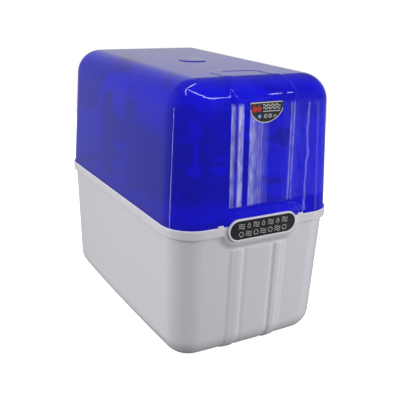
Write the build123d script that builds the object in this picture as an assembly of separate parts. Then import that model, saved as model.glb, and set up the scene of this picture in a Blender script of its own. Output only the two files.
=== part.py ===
from build123d import *
import math
import os

# Reverse osmosis unit in a closed two-part case. Millimetres, +Z up, the badge faces -Y.
# The origin is the centre of the footprint, on the surface that the rubber feet stand on.

# ---- Case ---------------------------------------------------------------------------------
CASE_W = 251.0          # cover width at the joint
CASE_L = 400.0          # cover length at the joint
CORNER_R = 41.0         # vertical corner radius of tub, rim and cover
JOINT_Z = 196.0         # top of the tub's rim
LEDGE_Z = 190.0         # ledge inside the rim that the cover's skirt stands on
COVER_TOP_Z = 379.0
COVER_DRAFT = 0.043     # inward lean of the cover's walls, per side
COVER_WALL = 2.6
COVER_TOP_FILLET = 37.0
RIM_PROUD = 2.3         # rim face outside the cover's wall
RIM_LOW_Z = 183.0
COVER_GAP = 0.35        # skirt to rim, all round
TUB_WALL = 3.0
TUB_STEP = 2.0          # tub wall inside the line of the cover's wall
TUB_DRAFT = 0.023
TUB_LOW_Z = 2.0
TUB_FLOOR_FILLET = 33.0
TUB_BOW_SIDE = 3.0      # outward bow of the long walls at the floor
TUB_BOW_END = 2.0
HALF_DEPTH = 206.0      # badge face in front, and the port collets behind
TAB_X = 63.0            # small tabs on the rim, either side of the badge
TAB_HALF_W = 4.0
TAB_T = 1.6
TAB_RISE = 3.0
FOOT_X = 72.0
FOOT_Y = 142.0
FOOT_R = 8.0

# ---- Badge, ribs and label ----------------------------------------------------------------
BADGE_Z = 189.2
BADGE_HALF_W = 53.5
BADGE_HALF_H = 15.2
BADGE_BORDER = 2.6
PAD_MARGIN = 11.5       # raised pad round the badge, beyond the badge's edge
RIB_IN = 27.0           # ribs run from this |x| ...
RIB_OUT = 44.5          # ... to this |x|
RIB_PROUD = 2.2
COVER_RIB_LOW_Z = 219.0
TUB_RIB_TOP_Z = 157.0
RIB_BACK_Y = -106.0     # back of the rib's loop on the cover's top
LABEL_TOP_Z = 352.0
LABEL_R = 27.0
DISC_R = 24.5
DISC_PROUD = 0.9

# ---- Tank ---------------------------------------------------------------------------------
TANK_R = 88.0
TANK_Z = 100.0
TANK_FRONT_Y = -178.0
TANK_BACK_Y = 134.0
TANK_WALL = 3.0
TANK_DOME = 40.0
TANK_WELD_Y = -22.0
TANK_PORT_R = 12.0
SADDLE_YS = (-110.0, 66.0)

# ---- Tray and rack ------------------------------------------------------------------------
TRAY_Z = 196.0
TRAY_T = 3.0
TRAY_HALF_W = 112.0
TRAY_FRONT_Y = -185.0
TRAY_BACK_Y = 140.0
POST_X = 102.0
POST_YS = (-163.0, 113.0)
POST_R = 6.0
CRADLE_YS = (-19.0, 69.0)
CRADLE_T = 18.0
CRADLE_HALF_W = 105.0
HORN_TOP_Z = 328.0
HORN_T = 8.0
RAIL_FRONT_Y = -104.0
RAIL_ZS = (264.0, 290.0)

# ---- Filters and membrane -----------------------------------------------------------------
FILTER_XS = (-66.0, 0.0, 66.0)
FILTER_Z = 312.0
FILTER_R = 30.0
FILTER_FRONT_Y = -105.0
FILTER_BACK_Y = 115.0
CAP_LENGTH = 12.0
LINK_FRONT_Y = -136.0
LINK_BACK_Y = 144.0
POST_FILTER_X = 1.0
POST_FILTER_Z = 236.0
POST_FILTER_R = 22.5
POST_FILTER_YS = (-93.0, 95.0)
MEMBRANE_X = 61.0
MEMBRANE_Z = 237.0
MEMBRANE_R = 30.0
MEMBRANE_YS = (-128.0, 152.0)
MEMBRANE_CAP_R = 33.0
MEMBRANE_CAP_Y = -152.0
MEMBRANE_FRONT_Y = -168.0   # elbow in front of the housing's cap
PERMEATE_X = MEMBRANE_X
PERMEATE_Z = 236.0
BRINE_Z = 216.0

# ---- Pump ---------------------------------------------------------------------------------
PUMP_X = -54.0
PUMP_Z = 237.0
MOTOR_R = 29.0
MOTOR_YS = (-74.0, 8.0)
HEAD_SIZE = 60.0
HEAD_YS = (-118.0, -76.0)
PUMP_PORT_X = 18.0
PUMP_PORT_Z = 250.0
SHAFT_R = 2.5
ECCENTRIC_Y = -92.0
DIAPHRAGM_R = 24.0
VALVE_PLATE_Y = -104.0
BRACKET_Z = 202.0
GROMMET_X = 24.0        # either side of the pump's middle
GROMMET_YS = (-58.0, -8.0)

# ---- Water line ---------------------------------------------------------------------------
TUBE_R = 3.175          # quarter-inch tube
TUBE_WALL = 1.1
FITTING_R = 6.5
ELBOW_LEG = 13.0
SOCKET_DEPTH = 8.0
STEM_R = 4.0
LINE_Y = 162.0          # plane of the pipework behind the filters
TANK_VALVE_Y = LINE_Y
TANK_TUBE_X = -32.0
RETURN_Z = 207.0        # product line, just above the tray
POST_FRONT = (POST_FILTER_X, -120.0, POST_FILTER_Z)

# ---- Valves and switches ------------------------------------------------------------------
SOLENOID_X = -24.0
SWITCH_ZS = (206.0, 240.0)
CHECK_XS = (28.0, 46.0)
RESTRICTOR_ZS = (170.0, 196.0)

# ---- Back panel ---------------------------------------------------------------------------
PORT_Z = 148.0
FEED_X = -57.0
JACK_X = -8.0
PRODUCT_X = 32.0
DRAIN_X = 66.0
BRINE_X = DRAIN_X
RECESS_HALF_W = 90.0
RECESS_ZS = (124.0, 172.0)
RECESS_Y = 183.0        # outer face of the recessed panel
PORT_BORE_R = 3.25      # takes quarter-inch tube
BULKHEAD_R = 6.0
COLLET_HEAD = 4.0

X = (1, 0, 0)
Y = (0, 1, 0)
Z = (0, 0, 1)
LEFT = (-1, 0, 0)
FRONT = (0, -1, 0)
DOWN = (0, 0, -1)


# ---- Helpers ------------------------------------------------------------------------------
def rod(start, direction, radius, length):
    """A round bar that starts at a point and runs along a direction."""
    bar = Cylinder(radius, length, align=(Align.CENTER, Align.CENTER, Align.MIN))
    return Plane(origin=start, z_dir=direction) * bar


def pipe(start, direction, outer, inner, length):
    """A round bar with a bore right through."""
    return rod(start, direction, outer, length) - rod(start, direction, inner, length)


def block(low, high):
    """A box between two corners."""
    size = [high[i] - low[i] for i in range(3)]
    centre = [(high[i] + low[i]) / 2 for i in range(3)]
    return Pos(*centre) * Box(*size)


def shift(point, direction, distance):
    return tuple(point[i] + direction[i] * distance for i in range(3))


def elbow(corner, first, second, stem=0.0):
    """A push-fit elbow. With a stem length, its first leg is a plain stem instead of a socket."""
    body = Pos(*corner) * Sphere(FITTING_R)
    body += rod(corner, second, FITTING_R, ELBOW_LEG)
    if stem:
        body += rod(corner, first, STEM_R, stem)
    else:
        body += rod(corner, first, FITTING_R, ELBOW_LEG)
        body -= rod(shift(corner, first, ELBOW_LEG - SOCKET_DEPTH), first, TUBE_R, SOCKET_DEPTH + 1)
    body -= rod(shift(corner, second, ELBOW_LEG - SOCKET_DEPTH), second, TUBE_R, SOCKET_DEPTH + 1)
    reach = stem if stem else ELBOW_LEG
    body -= rod(corner, first, TUBE_R - TUBE_WALL, reach + 1)
    body -= rod(corner, second, TUBE_R - TUBE_WALL, ELBOW_LEG)
    return body


def socket_end(corner, direction):
    """Where a tube's end sits, inside the socket of an elbow."""
    return shift(corner, direction, ELBOW_LEG - SOCKET_DEPTH)


def straight_tube(start, end):
    """A straight length of tube between two points."""
    length = math.dist(start, end)
    direction = tuple((end[i] - start[i]) / length for i in range(3))
    return pipe(start, direction, TUBE_R, TUBE_R - TUBE_WALL, length)


def tube_radii(points):
    """The largest arc at each corner of a route that its two runs allow."""
    radii = []
    for a, b, c in zip(points, points[1:], points[2:]):
        turn = (Vector(*b) - Vector(*a)).get_angle(Vector(*c) - Vector(*b))
        run = min(math.dist(a, b), math.dist(b, c))
        radii.append(0.45 * run / math.tan(math.radians(turn / 2)))
    return radii


def bent_rod(points, radius, name):
    """A solid tube along straight runs joined by tangent arcs."""
    radii = tube_radii(points)
    path = FilletPolyline(*points, radius=radii)
    start = Vector(*points[0])
    heading = Vector(*points[1]) - start
    section = Plane(origin=start, z_dir=heading) * Circle(radius)
    solid = sweep(section, path=path)
    expected = math.pi * radius ** 2 * path.length
    print(name, "radii", [round(r, 1) for r in radii], "volume ratio", round(solid.volume / expected, 4))
    return solid


def bent_tube(points, name):
    """A tube with its bore along straight runs joined by tangent arcs."""
    return bent_rod(points, TUBE_R, name) - bent_rod(points, TUBE_R - TUBE_WALL, name + " bore")


def rounded_block(low_z, low_size, high_z, high_size, corner):
    """A block with round vertical corners whose size changes evenly with height."""
    low = Plane.XY.offset(low_z) * RectangleRounded(*low_size, corner)
    high = Plane.XY.offset(high_z) * RectangleRounded(*high_size, corner)
    return loft([low, high])


def bowed_outline(width, length, bow_side, bow_end, corner):
    """A rectangle with slightly bowed sides and round corners."""
    x = width / 2
    y = length / 2
    right = ThreePointArc((x, -y), (x + bow_side, 0), (x, y))
    back = ThreePointArc((x, y), (0, y + bow_end), (-x, y))
    left = ThreePointArc((-x, y), (-x - bow_side, 0), (-x, -y))
    front = ThreePointArc((-x, -y), (0, -y - bow_end), (x, -y))
    outline = make_face([right, back, left, front])
    return fillet(outline.vertices(), corner)


def bottom_edges(solid):
    return solid.faces().sort_by(Axis.Z)[0].edges()


def top_edges(solid):
    return solid.faces().sort_by(Axis.Z)[-1].edges()


def stadium(half_width, half_height):
    """A slot shape, wider than it is high."""
    return SlotOverall(2 * half_width, 2 * half_height)


def both_sides(x, ys):
    """Places at plus and minus one x, for each of several ys."""
    return [(side * x, y) for side in (-1, 1) for y in ys]


def front_plane(y):
    """A sketch plane facing the front, with its x to the right and its y up."""
    return Plane(origin=(0, y, 0), x_dir=X, z_dir=FRONT)


def raised_pad(back_y, face_y, margin):
    """The sloped pad round the badge, from a wide outline on the wall to a tight one in front."""
    wide = front_plane(back_y) * Pos(0, BADGE_Z) * stadium(BADGE_HALF_W + margin, BADGE_HALF_H + margin)
    tight = front_plane(face_y) * Pos(0, BADGE_Z) * stadium(BADGE_HALF_W + 1.2, BADGE_HALF_H + 1.2)
    return loft([wide, tight])


# ---- Case ---------------------------------------------------------------------------------
def tub_block(inset, low_z, fillet_r):
    """The tub's outer form, or its hollow when it is inset by the wall."""
    shrink = TUB_DRAFT * (RIM_LOW_Z - low_z)
    top_w = CASE_W - 2 * TUB_STEP - 2 * inset
    top_l = CASE_L - 2 * TUB_STEP - 2 * inset
    corner = CORNER_R - TUB_STEP - inset
    low_outline = bowed_outline(
        top_w - 2 * shrink - TUB_BOW_SIDE,
        top_l - 2 * shrink - TUB_BOW_END,
        TUB_BOW_SIDE,
        TUB_BOW_END,
        corner,
    )
    high_outline = bowed_outline(top_w, top_l, 0.6, 0.6, corner)
    body = loft([Plane.XY.offset(low_z) * low_outline, Plane.XY.offset(RIM_LOW_Z) * high_outline])
    return fillet(bottom_edges(body), fillet_r)


def tub_rib(side):
    """The space of one rib on the tub's front wall, running down under its lower edge."""
    low_x, high_x = sorted((side * RIB_IN, side * RIB_OUT))
    wall_y = -(CASE_L / 2 - TUB_STEP)
    return block((low_x, wall_y - 5, 0), (high_x, wall_y + 46, TUB_RIB_TOP_Z))


def screw_posts():
    """Four posts that rise from the tub's floor to the tray, rounded off where they meet the floor."""
    floor = tub_block(TUB_WALL / 2, TUB_LOW_Z + TUB_WALL / 2, TUB_FLOOR_FILLET - TUB_WALL / 2)
    posts = Part()
    for x, y in both_sides(POST_X, POST_YS):
        post = rod((x, y, TUB_LOW_Z), Z, POST_R, TRAY_Z - TUB_LOW_Z)
        upper = block((x - 9, y - 9, 60), (x + 9, y + 9, TRAY_Z))
        posts += post & (floor + upper)
    return posts


def base_tub():
    outer = tub_block(0.0, TUB_LOW_Z, TUB_FLOOR_FILLET)
    proud = tub_block(-RIB_PROUD, TUB_LOW_Z - RIB_PROUD + 0.6, TUB_FLOOR_FILLET)
    for side in (-1, 1):
        outer += proud & tub_rib(side)
    rim_size = (CASE_W + 2 * RIM_PROUD, CASE_L + 2 * RIM_PROUD)
    rim_corner = CORNER_R + RIM_PROUD
    outer += rounded_block(RIM_LOW_Z, rim_size, JOINT_Z, rim_size, rim_corner)
    pad_back = -(CASE_L / 2 - 8)
    pad_face = -(HALF_DEPTH - 2.6)
    below_joint = block((-80, -210, 150), (80, -180, JOINT_Z))
    outer += raised_pad(pad_back, pad_face, PAD_MARGIN + 1) & below_joint
    tongue_back = -(CASE_L / 2 + 0.3)
    tongue = stadium(BADGE_HALF_W - 0.4, BADGE_HALF_H - 0.4)
    outer += extrude(front_plane(tongue_back) * Pos(0, BADGE_Z) * tongue, amount=tongue_back - pad_face)
    tab_y = -rim_size[1] / 2
    for x in (-TAB_X, TAB_X):
        tab_low = (x - TAB_HALF_W, tab_y, JOINT_Z)
        tab_high = (x + TAB_HALF_W, tab_y + TAB_T, JOINT_Z + TAB_RISE)
        outer += block(tab_low, tab_high)
    hollow = tub_block(TUB_WALL, TUB_LOW_Z + TUB_WALL, TUB_FLOOR_FILLET - TUB_WALL)
    inner_size = (CASE_W - 2 * TUB_STEP - 2 * TUB_WALL, CASE_L - 2 * TUB_STEP - 2 * TUB_WALL)
    inner_corner = CORNER_R - TUB_STEP - TUB_WALL
    hollow += rounded_block(RIM_LOW_Z - 1, inner_size, JOINT_Z + 1, inner_size, inner_corner)
    seat_size = (CASE_W + 2 * COVER_GAP + 0.5, CASE_L + 2 * COVER_GAP + 0.5)
    hollow += rounded_block(LEDGE_Z, seat_size, JOINT_Z + 0.001, seat_size, CORNER_R + COVER_GAP)
    recess_low = (-RECESS_HALF_W, RECESS_Y, RECESS_ZS[0])
    recess_high = (RECESS_HALF_W, CASE_L / 2 + 10, RECESS_ZS[1])
    backing_low = tuple(place - TUB_WALL for place in recess_low)
    backing_high = (RECESS_HALF_W + TUB_WALL, CASE_L / 2 - 3.5, RECESS_ZS[1] + TUB_WALL)
    backing = block(backing_low, backing_high)
    tub = outer - hollow + backing - block(recess_low, recess_high)
    for x in (FEED_X, PRODUCT_X, DRAIN_X, JACK_X):
        tub -= rod((x, RECESS_Y - 5, PORT_Z), Y, BULKHEAD_R + 0.1, 10)
    tub += screw_posts()
    for x, y in both_sides(POST_X, POST_YS):
        tub -= rod((x, y, TRAY_Z - 16), Z, 1.95, 20)
    for x, y in both_sides(FOOT_X, (-FOOT_Y, FOOT_Y)):
        tub -= rod((x, y, 0), Z, FOOT_R + 0.2, TUB_LOW_Z + 1.2)
    return tub


def rubber_feet():
    feet = Part()
    for x, y in both_sides(FOOT_X, (-FOOT_Y, FOOT_Y)):
        foot = rod((x, y, 0), Z, FOOT_R, TUB_LOW_Z + 1.2)
        feet += fillet(bottom_edges(foot), 0.8)
    return feet


def cover_block(inset, low_z):
    """The cover's outer form, or its hollow when it is inset by the wall."""
    shrink = COVER_DRAFT * (COVER_TOP_Z - JOINT_Z)
    low_w = CASE_W + 0.5 - 2 * inset
    low_l = CASE_L + 0.5 - 2 * inset
    high_w = CASE_W - 2 * shrink - 2 * inset
    high_l = CASE_L - 2 * shrink - 2 * inset
    corner = CORNER_R - inset
    body = rounded_block(low_z, (low_w, low_l), COVER_TOP_Z - inset, (high_w, high_l), corner)
    return fillet(top_edges(body), COVER_TOP_FILLET - inset)


def rib_loop():
    """The rib's outline seen from above: up the front on both sides and round behind the panel."""
    front_y = -230.0
    outer = block((-RIB_OUT, front_y, 0), (RIB_OUT, RIB_BACK_Y, 400))
    outer = fillet(outer.edges().filter_by(Axis.Z).sort_by(Axis.Y)[-2:], 28)
    back_y = RIB_BACK_Y - (RIB_OUT - RIB_IN)
    inner = block((-RIB_IN, front_y, 0), (RIB_IN, back_y, 400))
    inner = fillet(inner.edges().filter_by(Axis.Z).sort_by(Axis.Y)[-2:], 14)
    return outer - inner


def cover():
    outer = cover_block(0.0, LEDGE_Z)
    proud = cover_block(-RIB_PROUD * 0.4, LEDGE_Z)
    outer += proud & (rib_loop() & block((-60, -220, COVER_RIB_LOW_Z), (60, -90, 400)))
    above_rim = block((-80, -210, JOINT_Z + 0.3), (80, -180, 230))
    collar = raised_pad(-(CASE_L / 2 - 5), -(CASE_L / 2 + 2.6), PAD_MARGIN) & above_rim
    outer += collar
    top_disc = rod((0, -2, COVER_TOP_Z - 1), Z, DISC_R, 1 + DISC_PROUD)
    outer += fillet(top_edges(top_disc), 0.5)
    shell = outer - cover_block(COVER_WALL, LEDGE_Z - 0.001)
    notch_back = -(CASE_L / 2 - 6)
    notch_half_w = BADGE_HALF_W + 0.5
    notch_outline = stadium(notch_half_w, BADGE_HALF_H + 0.5)
    shell -= extrude(front_plane(notch_back) * Pos(0, BADGE_Z) * notch_outline, amount=20)
    shell -= block((-notch_half_w, -220, LEDGE_Z - 5), (notch_half_w, notch_back, BADGE_Z))
    for x in (-TAB_X, TAB_X):
        tab_low = (x - TAB_HALF_W - 0.5, -210, LEDGE_Z - 1)
        tab_high = (x + TAB_HALF_W + 0.5, -(CASE_L / 2 + 0.3), JOINT_Z + TAB_RISE + 0.4)
        shell -= block(tab_low, tab_high)
    shell -= block((-80, -210, LEDGE_Z - 1), (80, -(CASE_L / 2 + 0.25), JOINT_Z + 0.3))
    return shell


def badge_bezel():
    back = -(HALF_DEPTH - 2.6)
    outline = stadium(BADGE_HALF_W, BADGE_HALF_H)
    outer = extrude(front_plane(back) * Pos(0, BADGE_Z) * outline, amount=2.6)
    outer = fillet(outer.faces().sort_by(Axis.Y)[0].edges(), 1.1)
    inner = stadium(BADGE_HALF_W - BADGE_BORDER, BADGE_HALF_H - BADGE_BORDER)
    return outer - extrude(front_plane(-(HALF_DEPTH - 1.2)) * Pos(0, BADGE_Z) * inner, amount=5)


def badge_plate():
    back = -(HALF_DEPTH - 1.2)
    face = stadium(BADGE_HALF_W - BADGE_BORDER - 0.1, BADGE_HALF_H - BADGE_BORDER - 0.1)
    return extrude(front_plane(back) * Pos(0, BADGE_Z) * face, amount=0.8)


def front_label():
    """A thin half-round sticker that follows the cover's front wall between the ribs."""
    skin = cover_block(-0.35, LEDGE_Z) - cover_block(0.0, LEDGE_Z)
    half_round = Circle(LABEL_R) & Pos(0, -LABEL_R) * Rectangle(2 * LABEL_R, 2 * LABEL_R)
    cutter = extrude(front_plane(-150) * Pos(0, LABEL_TOP_Z - 3) * half_round, amount=60)
    cutter = cutter & block((-24.5, -215, 0), (24.5, -150, 400))
    return skin & cutter


# ---- Tank ---------------------------------------------------------------------------------
def tank_form(radius, front_y, back_y, dome):
    """A lying cylinder with domed ends."""
    length = back_y - front_y
    body = rod((0, front_y, TANK_Z), Y, radius, length)
    ends = body.edges().filter_by(GeomType.CIRCLE)
    return fillet(ends, dome)


def tank_halves():
    outer = tank_form(TANK_R, TANK_FRONT_Y, TANK_BACK_Y, TANK_DOME)
    inner_front = TANK_FRONT_Y + TANK_WALL
    inner_back = TANK_BACK_Y - TANK_WALL
    inner = tank_form(TANK_R - TANK_WALL, inner_front, inner_back, TANK_DOME - TANK_WALL)
    wall = outer - inner
    wall += pipe((0, TANK_WELD_Y - 5, TANK_Z), Y, TANK_R + 1.5, TANK_R - 1, 10)
    wall -= rod((0, TANK_BACK_Y - 10, TANK_Z), Y, TANK_PORT_R, 20)
    wall -= rod((0, TANK_FRONT_Y - 10, TANK_Z), Y, 4.0, 20)
    front_half = wall & block((-100, -300, 0), (100, TANK_WELD_Y, 220))
    back_half = wall & block((-100, TANK_WELD_Y, 0), (100, 300, 220))
    return front_half, back_half


def tank_bladder():
    """The rubber bag that keeps the water apart from the air charge, half full."""
    front_y = TANK_WELD_Y - 60
    back_y = TANK_BACK_Y - TANK_WALL
    radius = TANK_R - TANK_WALL
    outer = tank_form(radius - 0.4, front_y, back_y - 0.4, TANK_DOME - 3.4)
    inner = tank_form(radius - 2.4, front_y + 2, back_y - 2.4, TANK_DOME - 5.4)
    return outer - inner - rod((0, TANK_BACK_Y - 20, TANK_Z), Y, TANK_PORT_R, 40)


def tank_port():
    """The threaded steel neck in the tank's back end."""
    neck = rod((0, TANK_BACK_Y - 7, TANK_Z), Y, TANK_PORT_R, 11)
    neck += rod((0, TANK_BACK_Y, TANK_Z), Y, 15.0, 3)
    neck += rod((0, TANK_BACK_Y + 3, TANK_Z), Y, 8.0, 9)
    return neck - rod((0, TANK_BACK_Y - 10, TANK_Z), Y, 4.5, 40)


def tank_air_valve():
    valve = pipe((0, TANK_FRONT_Y - 8, TANK_Z), Y, 3.9, 1.8, 14)
    return valve + pipe((0, TANK_FRONT_Y - 1.5, TANK_Z), Y, 8.0, 1.8, 1.5)


def tank_air_valve_cap():
    cap = rod((0, TANK_FRONT_Y - 10.5, TANK_Z), Y, 5.2, 8.5)
    return cap - rod((0, TANK_FRONT_Y - 8, TANK_Z), Y, 3.9, 10)


def tank_valve_body():
    body = rod((0, TANK_BACK_Y + 4, TANK_Z), Y, 12.0, 38)
    body += rod((0, TANK_VALVE_Y, TANK_Z), Z, 8.0, 14)
    body += rod((0, TANK_VALVE_Y, TANK_Z), LEFT, 7.5, 20)
    body -= rod((0, TANK_BACK_Y + 3, TANK_Z), Y, 8.0, 9)
    body -= rod((0, TANK_BACK_Y + 3, TANK_Z), Y, 4.5, 22)
    body -= Pos(0, TANK_VALVE_Y, TANK_Z) * Sphere(7.3)
    body -= rod((0, TANK_VALVE_Y, TANK_Z), Z, 3.05, 20)
    body -= rod((0, TANK_VALVE_Y, TANK_Z), LEFT, 3.0, 25)
    body -= rod((-14, TANK_VALVE_Y, TANK_Z), LEFT, STEM_R, 10)
    return body


def tank_valve_ball():
    """Ball and stem. A cross-drilled port lines up with the line when the lever is along it."""
    ball = Pos(0, TANK_VALVE_Y, TANK_Z) * Sphere(7.0)
    ball -= rod((0, TANK_VALVE_Y - 10, TANK_Z), Y, 3.0, 10)
    ball -= rod((0, TANK_VALVE_Y, TANK_Z), LEFT, 3.0, 10)
    return ball + rod((0, TANK_VALVE_Y, TANK_Z + 5), Z, 3.0, 15)


def tank_valve_lever():
    hub = rod((0, TANK_VALVE_Y, TANK_Z + 14.6), Z, 7.0, 6.4)
    blade = block((-4, TANK_VALVE_Y, TANK_Z + 15.6), (4, TANK_VALVE_Y + 24, TANK_Z + 19.6))
    tip = rod((0, TANK_VALVE_Y + 22, TANK_Z + 15.6), Z, 5.5, 4)
    return hub + blade + tip - rod((0, TANK_VALVE_Y, TANK_Z + 14), Z, 3.0, 6)


def tank_cradles():
    """Two saddles on the tub's floor that keep the tank from rolling."""
    pair = Part()
    for y in SADDLE_YS:
        saddle = block((-70, y - 9, TUB_LOW_Z + TUB_WALL), (70, y + 9, 58))
        saddle -= rod((0, y - 20, TANK_Z), Y, TANK_R + 0.05, 40)
        pair += saddle
    return pair


# ---- Tray and rack ------------------------------------------------------------------------
def tray():
    top_z = TRAY_Z + TRAY_T
    plate = block((-TRAY_HALF_W, TRAY_FRONT_Y, TRAY_Z), (TRAY_HALF_W, TRAY_BACK_Y, top_z))
    plate = fillet(plate.edges().filter_by(Axis.Z), 34)
    for x, y in both_sides(POST_X, POST_YS):
        plate -= rod((x, y, TRAY_Z - 1), Z, 2.2, TRAY_T + 2)
    return plate


def tray_screws():
    """Four cross-head screws through the tray into the tub's posts."""
    seat_z = TRAY_Z + TRAY_T
    screws = Part()
    for x, y in both_sides(POST_X, POST_YS):
        screw = rod((x, y, TRAY_Z - 12), Z, 1.9, 12 + TRAY_T)
        screw += rod((x, y, seat_z), Z, 3.8, 2.4)
        screw -= block((x - 2.4, y - 0.4, seat_z + 1.2), (x + 2.4, y + 0.4, seat_z + 4))
        screw -= block((x - 0.4, y - 2.4, seat_z + 1.2), (x + 0.4, y + 2.4, seat_z + 4))
        screws += screw
    return screws


def cradle(y):
    """An upright web across the rack, with a round seat for each of the three filters."""
    low = TRAY_Z + TRAY_T
    seat_low = FILTER_Z - FILTER_R - 9
    front_y = y - CRADLE_T / 2
    back_y = y + CRADLE_T / 2
    web = block((-CRADLE_HALF_W, front_y, seat_low), (CRADLE_HALF_W, back_y, FILTER_Z - 2))
    for side in (-1, 1):
        inner, outer = sorted((side * (CRADLE_HALF_W - HORN_T), side * CRADLE_HALF_W))
        horn = block((inner, front_y, seat_low), (outer, back_y, HORN_TOP_Z))
        web += fillet(horn.edges().filter_by(Axis.X).sort_by(Axis.Z)[-2:], 7)
        web += block((inner, front_y, low), (outer, back_y, seat_low + 1))
        inner, outer = sorted((side * (CRADLE_HALF_W - 15), side * CRADLE_HALF_W))
        web += block((inner, front_y, low), (outer, back_y, low + 3))
    return web


def filter_rack():
    """One black moulding: two upright webs, and side rails that carry on towards the front."""
    rack = cradle(CRADLE_YS[0]) + cradle(CRADLE_YS[1])
    for side in (-1, 1):
        inner, outer = sorted((side * (CRADLE_HALF_W - 6), side * CRADLE_HALF_W))
        rack += block((inner, RAIL_FRONT_Y, RAIL_ZS[0]), (outer, CRADLE_YS[1], RAIL_ZS[1]))
    for x in FILTER_XS:
        rack -= rod((x, RAIL_FRONT_Y - 20, FILTER_Z), Y, FILTER_R + 0.05, 240)
    return rack


# ---- Filters ------------------------------------------------------------------------------
def cartridge(x, z, radius, front_y, back_y):
    """A sealed inline filter body with a shoulder at each end."""
    body = rod((x, front_y, z), Y, radius, back_y - front_y)
    return fillet(body.edges().filter_by(GeomType.CIRCLE), 3.5)


def prefilter(x):
    return cartridge(x, FILTER_Z, FILTER_R, FILTER_FRONT_Y, FILTER_BACK_Y)


def post_filter():
    front_y, back_y = POST_FILTER_YS
    return cartridge(POST_FILTER_X, POST_FILTER_Z, POST_FILTER_R, front_y, back_y)


def end_cap(x, y, z, radius, direction):
    """The stepped end of an inline filter, with the nose that the fitting goes into."""
    cap = rod((x, y, z), direction, radius * 0.8, 5)
    cap += rod((x, y, z), direction, radius * 0.45, CAP_LENGTH)
    return cap


def filter_end_caps():
    caps = Part()
    for x in FILTER_XS:
        caps += end_cap(x, FILTER_FRONT_Y, FILTER_Z, FILTER_R, FRONT)
        caps += end_cap(x, FILTER_BACK_Y, FILTER_Z, FILTER_R, Y)
    caps += end_cap(POST_FILTER_X, POST_FILTER_YS[0], POST_FILTER_Z, POST_FILTER_R, FRONT)
    caps += end_cap(POST_FILTER_X, POST_FILTER_YS[1], POST_FILTER_Z, POST_FILTER_R, Y)
    return caps


def post_filter_clips():
    x = POST_FILTER_X
    z = POST_FILTER_Z
    base = TRAY_Z + TRAY_T
    clips = Part()
    for y in (-60, 62):
        clip = block((x - 12, y - 7, base), (x + 12, y + 7, z))
        clip += pipe((x, y - 7, z), Y, POST_FILTER_R + 2, POST_FILTER_R, 14)
        clip -= rod((x, y - 9, z), Y, POST_FILTER_R, 18)
        clip -= block((x - 18, y - 9, z + 8), (x + 18, y + 9, z + 40))
        clips += clip
    return clips


# ---- Membrane -----------------------------------------------------------------------------
def membrane_housing():
    front_y, back_y = MEMBRANE_YS
    body = rod((MEMBRANE_X, front_y, MEMBRANE_Z), Y, MEMBRANE_R, back_y - front_y)
    body = fillet(body.edges().filter_by(GeomType.CIRCLE).sort_by(Axis.Y)[-1:], 5)
    body += rod((MEMBRANE_X, front_y + 12, MEMBRANE_Z), Y, MEMBRANE_R + 2, 6)
    body -= rod((MEMBRANE_X, front_y - 1, MEMBRANE_Z), Y, MEMBRANE_R - 4, back_y - front_y - 5)
    body -= rod((PERMEATE_X, back_y - 10, PERMEATE_Z), Y, STEM_R, 12)
    body -= rod((BRINE_X, back_y - 10, BRINE_Z), Y, STEM_R, 12)
    return body


def membrane_cap():
    front_y = MEMBRANE_YS[0]
    length = front_y + 10 - MEMBRANE_CAP_Y
    cap = rod((MEMBRANE_X, MEMBRANE_CAP_Y, MEMBRANE_Z), Y, MEMBRANE_CAP_R, length)
    cap = fillet(cap.edges().filter_by(GeomType.CIRCLE).sort_by(Axis.Y)[:1], 3)
    cap -= rod((MEMBRANE_X, front_y - 6, MEMBRANE_Z), Y, MEMBRANE_R, 30)
    cap -= rod((MEMBRANE_X, MEMBRANE_CAP_Y - 1, MEMBRANE_Z), Y, STEM_R, 40)
    for i in range(12):
        angle = math.radians(30 * i)
        x = MEMBRANE_X + (MEMBRANE_CAP_R + 0.6) * math.cos(angle)
        z = MEMBRANE_Z + (MEMBRANE_CAP_R + 0.6) * math.sin(angle)
        cap -= rod((x, MEMBRANE_CAP_Y + 5, z), Y, 1.6, length)
    return cap


def membrane_cap_seal():
    place = Plane(origin=(MEMBRANE_X, MEMBRANE_YS[0] - 3, MEMBRANE_Z), z_dir=Y)
    return place * Torus(MEMBRANE_R - 3, 2.2)


def membrane_element():
    """The spiral-wound membrane: a wrapped roll, a brine seal and the permeate tube down its middle."""
    front_y = MEMBRANE_YS[0] + 8
    roll = rod((MEMBRANE_X, front_y, MEMBRANE_Z), Y, 22.5, 244)
    roll += rod((MEMBRANE_X, front_y + 4, MEMBRANE_Z), Y, 25.6, 6)
    roll += rod((MEMBRANE_X, front_y - 14, MEMBRANE_Z), Y, 8.5, 272)
    return roll - rod((MEMBRANE_X, front_y + 40, MEMBRANE_Z), Y, 5.0, 300)


def membrane_clips():
    x = MEMBRANE_X
    z = MEMBRANE_Z
    base = TRAY_Z + TRAY_T
    clips = Part()
    for y in (-80, 100):
        clip = block((x - 15, y - 8, base), (x + 15, y + 8, z))
        clip += pipe((x, y - 8, z), Y, MEMBRANE_R + 2.4, MEMBRANE_R, 16)
        clip -= rod((x, y - 9, z), Y, MEMBRANE_R, 18)
        clip -= block((x - 25, y - 9, z + 12), (x + 25, y + 9, z + 50))
        clips += clip
    return clips


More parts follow.
